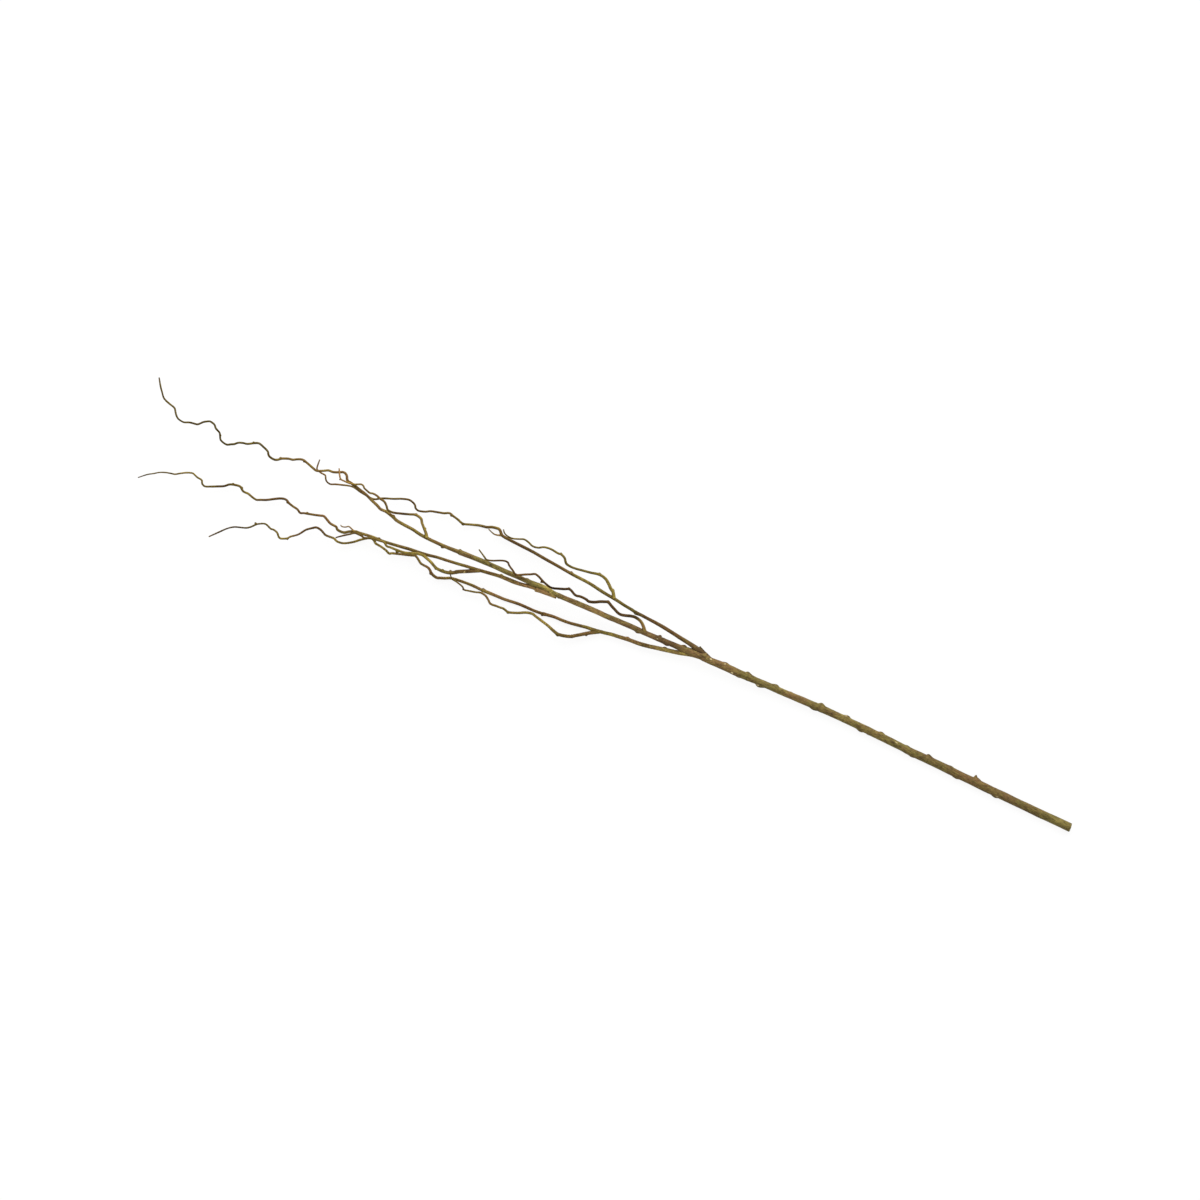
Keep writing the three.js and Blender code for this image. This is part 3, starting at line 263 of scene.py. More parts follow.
# Buds, leaf scars and snags: [along, turn, reach, lean, root]. Turn is where one stands round its
# limb in degrees, 0 left, 90 up, 180 right, 270 down. Reach is how far its point stands out, lean how
# far the point lies ahead of the root, and root the root's diameter.
BUDS = {
    "stem": [
        [99, 0, 1.3, -1.5, 7], [125.5, 180, 1.6, 1, 7], [128.5, 180, 2.8, 0.5, 2],
        [150, 0, 1, 0, 7], [161, 180, 0.6, 0, 6], [188, 180, 1.8, 3, 6], [198, 80, 0.8, 1, 5],
        [208.5, 0, 0.8, 0, 6], [218.5, 180, 0.7, 0, 5], [236, 95, 0.9, 1, 5],
        [252.5, 180, 1.4, 0.5, 6], [267, 0, 0.4, 0, 4], [278.5, 0, 1.2, -1, 7],
        [300, 180, 1.5, -2, 7], [317, 85, 0.8, 1, 5], [332, 180, 2, 1, 6], [339.5, 0, 1.2, 0, 8],
        [357, 272, 1.2, 2, 6], [372, 190, 0.4, 0, 4], [382, 110, 0.8, 1, 5],
        [393, 180, 1.6, -1.5, 7], [408.5, 0, 2.1, 2.5, 8], [425, 265, 1.2, 1, 6],
        [426.5, 180, 1.6, 2.5, 6], [438, 0, 0.5, 0, 5], [445, 60, 1, 1, 5], [458, 180, 0.9, -1, 6],
    ],
    "right_limb": [
        [671, 180, 1, 1, 3], [814, 0, 0.8, 0, 2.6], [830, 0, 1.2, 1, 2.2],
        [911, 90, 0.8, 0.8, 1.9],
    ],
    "right_twig": [
        [618, 180, 0.8, 0.3, 2.6], [640, 180, 0.8, 0.5, 2.6], [692, 180, 0.7, 0.3, 2.2],
    ],
    "middle_limb": [
        [512, 180, 1.5, -1, 5], [533, 0, 1.1, -1, 6], [543, 180, 1.8, -0.4, 3],
        [570, 0, 1.1, 0, 5], [606, 100, 0.8, 1, 4], [640, 260, 0.8, 1, 4],
    ],
    "middle_twig": [
        [617, 180, 0.6, 0, 2.6], [666, 180, 0.6, 0, 2.3], [697, 0, 2, 1.5, 1.6],
    ],
    "long_shoot": [
        [715, 180, 0.7, 1, 4], [762, 90, 0.8, 1, 4], [802, 180, 0.7, 1, 3.6], [823, 0, 1.4, 1, 3],
        [892, 180, 0.9, 0, 3], [1014, 0, 1, 0.8, 2], [1041, 180, 0.9, 0.5, 2],
        [1078, 180, 0.8, 0.4, 1.8], [1117, 180, 0.6, 0.4, 1.6], [1163, 90, 0.6, 0.4, 1.5],
    ],
    "long_twig": [
        [852, 180, 0.8, 0.3, 2.4], [868, 180, 0.7, 0, 2.2], [966, 0, 1.2, 0.3, 1.2],
    ],
    "second_shoot": [
        [745, 180, 1, 0.8, 3.4], [771, 90, 0.7, 0.5, 3], [897, 180, 0.9, 0, 2.8],
        [988, 180, 0.8, 0, 2.1], [1014, 0, 0.9, 0.4, 2.1], [1072, 180, 0.9, 0, 2.1],
        [1083, 180, 0.8, 0.3, 2.1], [1132, 90, 0.6, 0.3, 1.5],
    ],
    "second_twig": [
        [802, 180, 1.5, 0.6, 2.8], [812, 180, 0.8, 0, 2.4], [820, 0, 0.7, 0, 2.4],
        [871, 0, 2.6, -0.4, 1.8],
    ],
    "left_limb": [
        [531, 180, 1, 0, 4], [577, 180, 0.9, 0, 3.6], [681, 0, 1, 1.6, 2.4], [758, 180, 0.6, 1, 3],
        [823, 0, 0.9, 0.5, 2.6], [901, 180, 0.7, 0.3, 2.3], [997, 0, 0.9, 0, 1.8],
        [1037, 180, 2, 0.6, 1.5],
    ],
    "left_twig": [
        [625, 0, 1, -0.3, 2.4], [655, 0, 0.8, 0, 3], [720, 0, 0.7, 0, 2.3], [780, 0, 0.5, 0, 1.5],
    ],
}

# How each limb's surface is laid out: the step between its rings in millimetres, the faces round it,
# the height of its bark's wrinkles, and the pitch of its twisted grain, 0 where it has none.
SURFACE = {
    "stem": (0.6, 44, 0.13, 0),
    "fork_snag": (0.4, 24, 0.12, 0),
    "right_limb": (0.55, 16, 0.06, 0),
    "right_twig": (0.45, 12, 0.04, 0),
    "right_twiglet": (0.4, 10, 0.02, 0),
    "middle_limb": (0.5, 32, 0.10, 0),
    "middle_twig": (0.45, 14, 0.05, 0),
    "long_shoot": (0.5, 16, 0.06, 0),
    "long_twig": (0.45, 12, 0.03, 0),
    "second_shoot": (0.5, 16, 0.05, 0),
    "second_twig": (0.45, 14, 0.05, 0),
    "second_twiglet": (0.4, 10, 0.02, 0),
    "left_limb": (0.5, 16, 0.06, 7.4),
    "left_twig": (0.45, 14, 0.05, 7.0),
}

# The bark's tone along each limb: [along, olive, flush, shade]. Olive is 0 for tan and 1 for green,
# flush is how far the sun has reddened it, and shade multiplies the colour. Olive and flush below 0 or
# above 1 hold the mottling back.
TONES = {
    "stem": [
        [0, 0.8, 0.1, 0.93], [28, 0.7, 0.2, 1.0], [55, 0.4, 0.3, 0.76], [80, 0.15, 0.6, 0.92],
        [146, 0.2, 0.55, 1.05], [165, 0.45, 0.4, 0.86], [200, 0.35, 0.3, 0.89], [233, 0.65, 0.1, 1.01],
        [262, 0.45, 0.2, 1.06], [300, 0.6, 0.1, 1.13], [345, 0.5, 0.2, 0.96], [355, 0.2, 0.65, 1.24],
        [371, 0.3, 0.6, 1.37], [382, 0.65, 0.35, 1.19], [400, 0.5, 0.45, 0.95], [422, 0.7, 0.15, 1.0],
        [432, 0.7, 0.15, 1.07], [444, 0.25, 0.7, 1.22], [470, 0.2, 0.7, 1.2], [482, 0.3, 0.8, 1.35],
        [495, 0.4, 0.8, 1.42],
    ],
    "fork_snag": [[477, 0.3, 0.7, 0.6], [488, 0.4, 0.4, 0.34], [495, 0.6, 0.2, 0.24]],
    "right_limb": [
        [484, 0.2, 1.0, 0.52], [506, 0.2, 0.9, 0.91], [545, 0.05, 1.0, 0.85], [580, 0.2, 0.8, 0.55],
        [585, 0.6, 0.2, 0.67], [635, 0.8, 0.0, 0.98], [655, 0.7, 0.1, 1.4], [685, 0.1, 1.0, 0.76],
        [696, 0.1, 1.0, 0.92], [722, 0.3, 0.8, 0.66], [750, 0.3, 0.7, 0.8], [770, 0.3, 0.7, 1.08],
        [786, 0.3, 0.7, 0.68], [824, 0.5, 0.4, 0.68], [850, 0.5, 0.5, 0.44], [912, 0.3, 0.8, 0.43],
        [928, 0.4, 0.6, 0.51], [1001, 0.3, 0.8, 0.63],
    ],
    "right_twig": [
        [612, 1.4, -0.6, 1.38], [624, 1.4, -0.6, 1.18], [650, 1.3, -0.5, 0.53], [767, 0.5, 0.4, 0.44],
    ],
    "right_twiglet": [[765, 0.4, 0.5, 0.95], [784, 0.5, 0.3, 1.0]],
    "middle_limb": [
        [483, 0.4, 0.8, 1.08], [500, 0.5, 0.8, 1.55], [508, 0.5, 0.7, 1.68], [525, 0.05, 1.0, 0.8],
        [548, 0.1, 1.0, 0.96], [556, 0.3, 0.9, 1.6], [573, 0.4, 0.8, 1.06], [600, 0.5, 0.4, 1.38],
        [640, 0.4, 0.8, 1.7], [672, 0.4, 0.9, 1.33], [680, 0.95, 0.1, 1.63], [686, 1.3, -0.3, 2.45],
    ],
    "middle_twig": [
        [561, 0.2, 0.7, 2.05], [570, 0.4, 0.4, 1.3], [577, 0.3, 0.4, 0.38], [590, 0.0, 1.2, 0.6],
        [617, 0.2, 1.0, 0.52], [632, 0.0, 1.2, 0.31], [658, 0.0, 1.1, 0.44], [682, 0.0, 1.2, 0.1],
        [700, 0.0, 1.2, 0.34], [730, 0.1, 1.1, 0.65], [745, 0.1, 1.3, 0.22], [782, 0.6, 0.4, 0.55],
    ],
    "long_shoot": [
        [676, 0.9, 0.1, 1.55], [690, 1.0, 0.0, 2.05], [706, 0.9, 0.1, 1.2], [714, 0.85, 0.1, 1.22],
        [722, 0.5, 0.4, 1.0], [740, 0.6, 0.5, 1.23], [776, 0.8, 0.1, 1.13], [789, 0.4, 0.4, 1.18],
        [801, 0.2, 0.8, 1.13], [804, 0.4, 0.6, 1.09], [860, 0.6, 0.4, 1.22], [930, 0.25, 0.9, 1.12],
        [1030, 0.5, 0.6, 0.6], [1110, 0.8, 0.2, 0.3], [1212, 0.6, 0.4, 0.34],
    ],
    "long_twig": [
        [845, 0.8, 0.1, 1.66], [862, 0.7, 0.1, 1.03], [880, 0.6, 0.6, 0.31], [955, 0.3, 0.9, 0.9],
        [973, 0.3, 0.7, 1.6],
    ],
    "second_shoot": [
        # The first rows, at the collar, are light for the pale pinkish bark there and also as painted
        # light against the shadow that the long shoot and the middle limb cast on it.
        [675, 0.6, 0.4, 1.85], [688, 0.4, 0.9, 2.6], [694, 0.15, 1.0, 2.05], [701.5, 0.15, 1.0, 2.4],
        [703, 0.3, 0.7, 1.95], [712, 0.3, 0.8, 1.85], [760, 0.4, 0.5, 1.05], [785, 0.5, 0.5, 1.04],
        [797, 0.6, 0.4, 0.83], [812, 0.3, 0.8, 1.0], [830, 0.3, 0.6, 0.92], [900, 0.4, 0.4, 0.94],
        [1000, 0.25, 1.0, 0.63], [1040, 0.2, 1.1, 0.43], [1062, 0.8, 0.1, 0.78], [1092, 0.3, 0.9, 0.32],
        [1125, 0.9, 0.0, 0.64], [1150, 0.8, 0.1, 0.52], [1189, 0.3, 0.6, 0.36],
    ],
    "second_twig": [
        [771, 0.2, 0.8, 1.52], [785, 0.1, 0.7, 0.57], [789, 0.2, 0.7, 0.7], [830, 0.9, -0.2, 1.22],
        [944, 0.3, 0.8, 0.36],
    ],
    "second_twiglet": [[926, 0.6, 0.2, 1.05], [946, 0.4, 0.4, 0.65]],
    "left_limb": [
        [482, 0.2, 0.9, 1.9], [505, 0.6, 0.3, 1.85], [524, 0.5, 0.3, 1.25], [540, 0.4, 0.5, 1.4],
        [560, 0.3, 0.5, 1.12], [580, 0.3, 0.8, 1.08], [600, 0.9, -0.2, 1.02], [640, 0.3, 0.7, 1.0],
        [680, 0.05, 1.0, 1.08], [684, 0.2, 0.9, 0.95], [710, 0.15, 1.0, 0.85], [735, 0.3, 0.6, 1.1],
        [760, 0.5, 0.3, 1.38], [764, 0.3, 0.6, 1.48], [785, 0.3, 0.6, 1.25], [804, 0.3, 0.6, 0.98],
        [850, 0.4, 0.7, 0.93], [860, 0.3, 0.8, 0.7], [884, 0.9, 0.0, 1.05], [905, 0.9, 0.0, 1.26],
        [928, 0.8, 0.1, 0.57], [942, 1.0, -0.1, 0.75], [965, 0.3, 0.9, 0.52], [985, 0.2, 1.0, 0.38],
        [1004, 0.9, 0.0, 0.74], [1022, 0.6, 0.3, 0.48], [1042, 0.6, 0.4, 0.3], [1081, 0.3, 0.6, 0.33],
    ],
    "left_twig": [
        [610, 0.4, 0.2, 0.77], [640, 0.2, 0.6, 1.0], [665, 0.5, 0.3, 1.1], [740, 0.4, 0.5, 0.77],
        [802, 0.5, 0.6, 0.36],
    ],
}

# Lips left where a year's growth ended: [along, height]. The wood swells to the lip and drops beyond it.
JOINTS = {
    "stem": [[100, 0.1], [189, 0.12], [301, 0.15], [333, 0.12], [427, 0.2], [459, 0.12]],
    "right_limb": [[582, 0.3]],
    "middle_limb": [[538, 0.25], [571, 0.12], [674, 0.1]],
    "long_shoot": [[802.5, 0.25]],
    "second_shoot": [[701.5, 0.4]],
    "second_twig": [[797, 0.25]],
    "left_limb": [[681, 0.3], [759.5, 0.25]],
    "left_twig": [[639, 0.15]],
}

# Patches where the bark was rubbed through to pale wood: [along, turn, half length, half width].
SCARS = {
    "stem": [
        [476.5, 125, 1.9, 1.4], [459, 134, 1.3, 0.9], [446, 55, 2.2, 1.3], [412, 30, 2.4, 1.4],
        [301, 150, 1.6, 0.9], [96, 40, 1.5, 0.8], [233, 120, 2.2, 0.8],
    ],
    "middle_limb": [[545, 80, 1.6, 0.8]],
    "second_shoot": [[702, 20, 1.2, 2.0]],
    "second_twig": [[788, 60, 1.0, 2.2]],
}

# Limbs that grow from one another or side by side, and how far the bark swells between them, in
# millimetres.
JOINED = [
    ("stem", "middle_limb", 2.0),
    ("stem", "right_limb", 2.0),
    ("stem", "left_limb", 2.0),
    ("stem", "fork_snag", 1.0),
    ("middle_limb", "right_limb", 1.5),
    ("middle_limb", "left_limb", 2.0),
    ("right_limb", "fork_snag", 1.0),
    ("middle_limb", "long_shoot", 2.0),
    ("middle_limb", "second_shoot", 2.0),
    ("long_shoot", "second_shoot", 1.5),
    ("middle_limb", "middle_twig", 2.0),
    ("right_limb", "right_twig", 1.6),
    ("right_limb", "right_twiglet", 1.0),
    ("long_shoot", "long_twig", 1.6),
    ("second_shoot", "second_twig", 1.6),
    ("second_shoot", "second_twiglet", 1.0),
    ("left_limb", "left_twig", 1.6),
]

# How uneven each thing about the bark is: [changes a millimetre across the grain, changes a millimetre
# along it, what its seed adds, strength].
UNEVEN = {
    "streak": (1.3, 0.13, 0, 1.0),  # share of the wrinkles' height
    "fine": (2.4, 0.35, 20, 0.5),  # share of the wrinkles' height
    "slow": (0.22, 0.07, 40, 0.22),  # millimetres, on thick wood
    "ragged": (1.1, 0.9, 60, 0.35),  # share of a scar's size
    "patch": (0.12, 0.055, 80, 0.22),  # share of the shade
    "blotch": (0.42, 0.22, 140, 0.26),  # share of the shade
    "olive": (0.15, 0.04, 100, 0.3),
    "flush": (0.2, 0.06, 120, 0.3),
}
LATTICE = 64  # cells of the noise along each axis before it repeats
SEED = 1801

SPAN_SAMPLES = 24  # samples of the curve between two stations, before it is spaced evenly
PATH_SOFTNESS = 0.7  # millimetres over which a kink in a limb is rounded
THICK_SOFTNESS = 0.5  # millimetres over which a step in a limb's thickness is rounded

SEAM = 0.7  # half the width of the painted shade along the crease where two limbs meet
TURNED_GAIN = 1.5  # how soon two limbs that turn away from each other swell fully
CORE_SAMPLES = 1500  # about how many samples of a limb's middle a distance is measured from
BATCH = 4000  # points whose distances are measured at a time

THICK_WOOD = 4.0  # radius from which slow swells and scars have their full depth
THIN_SHARE = 0.25  # share of that depth on the thinnest twigs
TWIST_HEIGHT = 0.05  # height of the twisted grain
TWIST_SHADE = 0.1  # how much lighter its ridges are
LIP_RISE = 2.2  # millimetres over which the wood swells to a lip
LIP_DROP = 0.6  # and over which it drops beyond it
LIP_CREASE = 0.8  # how far beyond the lip the painted shade of its crease runs
FULL_LIP = 0.25  # height from which the painted shade in a lip's crease is full
PAINTED_CREASE_SHADE = 0.45  # how much darker a lip's crease is: painted shade
PAINTED_SEAM_SHADE = 0.5  # how much darker the crease where two limbs meet is: painted shade

BUD_AHEAD = 0.35  # a bud's middle lies ahead of its place by this share of its lean
BUD_LENGTH, BUD_STRETCH = 0.62, 0.5  # its half length, as shares of its root and of its reach
BUD_WIDTH = 0.5  # its half width, as a share of its root
BUD_POINT, BUD_SHOULDER = 1.1, 0.9  # how sharp its point is, and how full its shoulder
BUD_LEAN = 0.65  # share of its lean that its point takes
BUD_FADE = 0.8  # how soon its own colour fades from its point
CUSHION_LENGTH, CUSHION_WIDTH = 0.9, 0.6  # the cushion under it, as shares of its root
CUSHION_HEIGHT = 0.06  # as a share of its reach

SCAR_EDGE = 2.2  # how sharp a scar's edge is
SCAR_REACH = 1.15  # where it ends, in its own half lengths and widths
SCAR_DEPTH = 0.12

YOUNG_RADIUS, OLD_RADIUS = 0.6, 3.2  # wood this thin is all young, and wood this thick all old
PALE_FROM, PALE_TO = 3.8, 2.4  # thickness where the bark starts to pale, and where it is palest
PALE_GAIN = 0.55  # how much lighter the palest bark is
PAINTED_SIDE_SHADE, YOUNG_PAINTED_SIDE_SHADE = 0.05, 0.3  # how much darker the left side is, away from the window, and what young wood adds: painted shade

CUT_RINGS = 12
BUTT_RADIUS = 5.0  # the stem's at the cut
RIM_WIDTH = 0.35  # how far the bark's edge is worn at the saw cut
RIM_BACK, RIM_FRONT = 0.5, 0.12  # how far back its outer and inner ring lie, as shares of that
SAW_RIPPLE, SAW_PITCH = 0.05, 1.1  # height and pitch of the marks of the saw's teeth
CUT_EDGE = 0.5  # how much the outermost ring of the cut counts as cut

# The noise in the bark's colour and finest relief: (how fine across, across and along the grain),
# detail, roughness.
TEXTURES = {
    "streaks": ((1.5, 1.5, 0.16), 4.0, 0.6),
    "threads": ((4.5, 4.5, 0.25), 2.0, 0.5),
    "mottle": ((0.55, 0.55, 0.17), 4.0, 0.6),
    "blotch": ((0.3, 0.3, 0.075), 3.0, 0.55),
    "ribbon": ((0.8, 0.8, 0.06), 2.0, 0.5),
    "speckle": ((1.6, 1.6, 0.9), 3.0, 0.65),
    "fibres": ((6.0, 6.0, 6.0), 2.0, 0.5),
}
PORE_SPACING, PORE_SCALE = (0.75, 0.75, 0.42), 0.9  # how close the pores stand, the same way

# Layers of colour, each laid over the ones before it: the colour, the sum at which it starts and the
# one at which it is full, the share it then covers, and the weights of the fields in the sum. Each
# layer is a field for the ones after it.
BARK_LAYERS = {
    "green": ("olive", 1.6, 2.2, 1.0, {"olive": 0.9, "mottle": 1.3, "blotch": 1.2, "streaks": 0.5}),
    "russet": ("russet", 0.8, 1.02, 0.8, {"ribbon": 1.0, "blotch": 0.5, "flush": 0.3, "green": -0.1}),
    "moss": ("moss", 0.52, 0.68, 0.65, {"streaks": 0.6, "mottle": 0.4, "green": 0.12, "flush": -0.08}),
    "pale": ("pale", 0.06, 0.22, 0.48, {"threads": 0.5, "blotch": -0.5}),
    "furrow": ("dark", -0.48, -0.34, 0.7, {"streaks": -1.0}),
    "grime": ("dark", 0.23, 0.41, 0.68, {"speckle": 0.75, "mottle": -0.35}),
    "pore": ("pale", -0.2, -0.08, 0.5, {"pores": -1.0}),
    "bud_tip": ("bud", 0.3, 0.85, 0.75, {"bud": 1.0}),
}
SCAR_LAYERS = {"bare": ("wood", 0.625, 0.925, 1.0, {"scar": 1.0, "speckle": 0.35})}
CUT_LAYERS = {
    "year_ring": ("tan", 0.2, 0.95, 0.35, {"year": 1.0}),
    "fibre": ("dark", 0.55, 0.7, 0.35, {"fibres": 1.0}),
    "pith": ("dark", -0.6, -0.35, 0.8, {"from_pith": -1.0}),
    "inner_bark": ("bud", 4.1, 4.35, 0.7, {"from_pith": 1.0}),
}
SCAR_RIM = (0.02, 0.35), (0.4, 0.75)  # a scar's dark rim comes up over the first span, goes over the next
SCAR_RIM_COVER = 0.7
RING_WANDER = 0.5  # how far a year's ring wanders, in millimetres
SAWN = (0.45, 0.9)  # how cut a place is where sawn wood starts to show, and where nothing else does

BLEACHED = (0.9, 1.7)  # shade from which tan bark starts to keep its blue, and where it keeps all
YOUNG_RED, YOUNG_BLUE = 0.16, 0.55  # how much redder young bark is, and how much less blue

# The weights of the fields in the height of the finest relief, and in what comes on to the roughness.
RELIEF = {"streaks": 0.5, "threads": 0.25, "speckle": 0.25, "pore": 0.5, "furrow": -0.25, "grime": -0.15}
ROUGHER = {"mottle": 0.3, "furrow": 0.1, "cut": 0.15, "bare": 0.1, "green": -0.06}
BUMP_STRENGTH = 0.55
SHEEN = 0.08  # bark has little mirror light
WHITE = (1.0, 1.0, 1.0, 1.0)

TABLE_ROUGHNESS = 0.85
TABLE_MOTTLE = 0.1  # how much rougher the table's top is in places
TABLE_TEXTURE = ((3.0, 3.0, 3.0), 2.0, 0.5)  # how fine in each direction, detail, roughness

SENSOR = 36.0  # width of the camera's sensor in millimetres
CAMERA_PLACE = (20.9, -49.1)  # over the table, in millimetres from the part's origin
CAMERA_TURN = math.radians(205.09)  # the branch runs from lower right to upper left
WINDOW_TURN = math.radians(25.09)  # the window stands at the upper edge of the camera's view

# Sockets of a Mix node that mixes colours, whose names others share.
MIX_FACTOR, MIX_ONE, MIX_TWO, MIX_RESULT = 0, 6, 7, 2
TINY = 1e-12  # keeps a length from being 0


def spread(values, sigma, turned):
    """Each sample becomes the bell-weighted mean of its neighbours, sigma samples wide. Past its ends
    a path carries on as its own mirror image, turned over where turned is true."""
    reach = int(3 * sigma) + 1
    offset = np.arange(-reach, reach + 1)
    weight = np.exp(-0.5 * (offset / sigma) ** 2)
    weight /= weight.sum()
    kind = "odd" if turned else "even"
    padded = np.pad(values, ((reach, reach), (0, 0)), mode="reflect", reflect_type=kind)
    return np.stack([np.convolve(column, weight, "valid") for column in padded.T], axis=1)


def unit(vectors):
    """Vectors divided by their length."""
    return vectors / np.maximum(np.linalg.norm(vectors, axis=-1, keepdims=True), TINY)


def bell(offset):
    """1 at 0 and less on both sides, as exp(-offset^2)."""
    return np.exp(-(offset**2))


def wrapped(angle):
    """An angle brought into the half turn either side of 0."""
    return (angle + math.pi) % (2 * math.pi) - math.pi


def noise(places, seed):
    """Value noise: random heights from -1 to 1 on a lattice one apart, blended between the eight
    corners round each place with the smooth step 3t^2 - 2t^3 along each axis."""
    heights = np.random.default_rng(SEED + seed).uniform(-1, 1, (LATTICE, LATTICE, LATTICE))
    base = np.floor(places).astype(int)
    part = places - base
    part = part * part * (3 - 2 * part)
    total = np.zeros(places.shape[:-1])
    for corner in np.ndindex(2, 2, 2):
        weight = np.prod(np.where(np.array(corner, bool), part, 1 - part), axis=-1)
        at = (base + np.array(corner)) % LATTICE
        total += weight * heights[at[..., 0], at[..., 1], at[..., 2]]
    return total


def uneven(kind, grain, tag):
    """One kind of unevenness: noise drawn out along the grain, times its strength."""
    across, along, seed, strength = UNEVEN[kind]
    return strength * noise(grain * [across, across, along], tag + seed)


@functools.cache
def path(name):
    """A limb's middle as evenly spaced samples: (places, thick, run). The curve between stations p1
    and p2 is a cubic with end slopes from the neighbours p0 and p3, each gap weighted by the square
    root of its length, so it passes through every station. Thick runs straight between stations. Both
    are then spread over a short length, so that the wood has no kink."""
    stations = np.array(STATIONS[name], float)
    stations[-1, 3] *= TIP_SHARE
    points = stations[:, :3]
    ends = np.vstack([2 * points[0] - points[1], points, 2 * points[-1] - points[-2]])
    p0, p1, p2, p3 = (ends[i : len(ends) - 3 + i, None] for i in range(4))
    g0, g1, g2 = (
        np.sqrt(np.linalg.norm(b - a, axis=-1, keepdims=True)) for a, b in ((p0, p1), (p1, p2), (p2, p3))
    )
    slope1 = g1 * ((p1 - p0) / g0 - (p2 - p0) / (g0 + g1) + (p2 - p1) / g1)
    slope2 = g1 * ((p2 - p1) / g1 - (p3 - p1) / (g1 + g2) + (p3 - p2) / g2)
    t = (np.arange(SPAN_SAMPLES) / SPAN_SAMPLES)[None, :, None]
    curve = (
        (2 * t**3 - 3 * t**2 + 1) * p1
        + (t**3 - 2 * t**2 + t) * slope1
        + (3 * t**2 - 2 * t**3) * p2
        + (t**3 - t**2) * slope2
    )
    curve = np.vstack([curve.reshape(-1, 3), points[-1]])
    thick = np.interp(np.arange(len(curve)) / SPAN_SAMPLES, np.arange(len(stations)), stations[:, 3])
    run = np.concatenate([[0], np.cumsum(np.linalg.norm(np.diff(curve, axis=0), axis=1))])
    step = SURFACE[name][0]
    even = np.linspace(0, run[-1], int(run[-1] / step) + 1)
    places = np.stack([np.interp(even, run, column) for column in curve.T], axis=1)
    thick = np.interp(even, run, thick)[:, None]
    places = spread(places, PATH_SOFTNESS / step, True)
    thick = spread(thick, THICK_SOFTNESS / step, False)[:, 0]
    if name == "stem":
        sawn = places[:, 0] >= 0
        places, thick, even = places[sawn], thick[sawn], even[sawn]
    return places, thick, even - even[0]


def frames(places):
    """The directions at each sample of a path: along the growth, to its left, and up from it."""
    growth = unit(np.gradient(places, axis=0))
    left = unit(np.cross([0.0, 0.0, 1.0], growth))
    return growth, left, np.cross(growth, left)


def at_along(name, along):
    """The first sample of a limb that is as far along as that."""
    places = path(name)[0]
    reached = places[:, 0] >= along
    return int(np.argmax(reached)) if reached.any() else len(places) - 1


def blend_with(points, outward, other, width):
    """Swells a surface towards another limb, as wood does in a fork. With g a point's distance from
    the other limb's surface and h = 1 - |g| / width, the bark rises by h^2 width / 4 along the mean of
    both limbs' outward directions, which is what a smooth union of the two gives, and less where they
    face the same way. Returns the swell and the painted shade in the crease where the two barks meet,
    which is exp(-(g / SEAM)^2), again less where they face the same way."""
    places, thick, _ = path(other)
    swell = np.zeros(points.shape)
    painted_seam = np.zeros(points.shape[:-1])
    low, high = places.min(0) - width, places.max(0) + width
    margin = thick.max()
    near = np.all((points > low - margin) & (points < high + margin), axis=-1)
    if not near.any():
        return swell, painted_seam
    own = points[near]
    stride = max(1, len(places) // CORE_SAMPLES)
    core, wide = places[::stride], thick[::stride]
    keep = np.all((core > own.min(0) - margin - width) & (core < own.max(0) + margin + width), axis=1)
    core, wide = core[keep], wide[keep]
    if not len(core):
        return swell, painted_seam
    gap = np.zeros(len(own))
    away = np.zeros(own.shape)
    for first in range(0, len(own), BATCH):
        batch = slice(first, first + BATCH)
        offset = own[batch, None] - core[None]
        distance = np.linalg.norm(offset, axis=-1) - wide / 2
        best = distance.argmin(1)
        rows = np.arange(len(best))
        gap[batch] = distance[rows, best]
        away[batch] = unit(offset[rows, best])
    h = np.clip(1 - np.abs(gap) / width, 0, 1)[:, None]
    turned = np.clip(TURNED_GAIN * (1 - (outward[near] * away).sum(-1)), 0, 1)
    swell[near] = h**2 * width / 4 * unit(outward[near] + away * h) * turned[:, None]
    # painted shade in the crease where the two barks meet
    painted_seam[near] = bell(gap / SEAM) * turned
    return swell, painted_seam


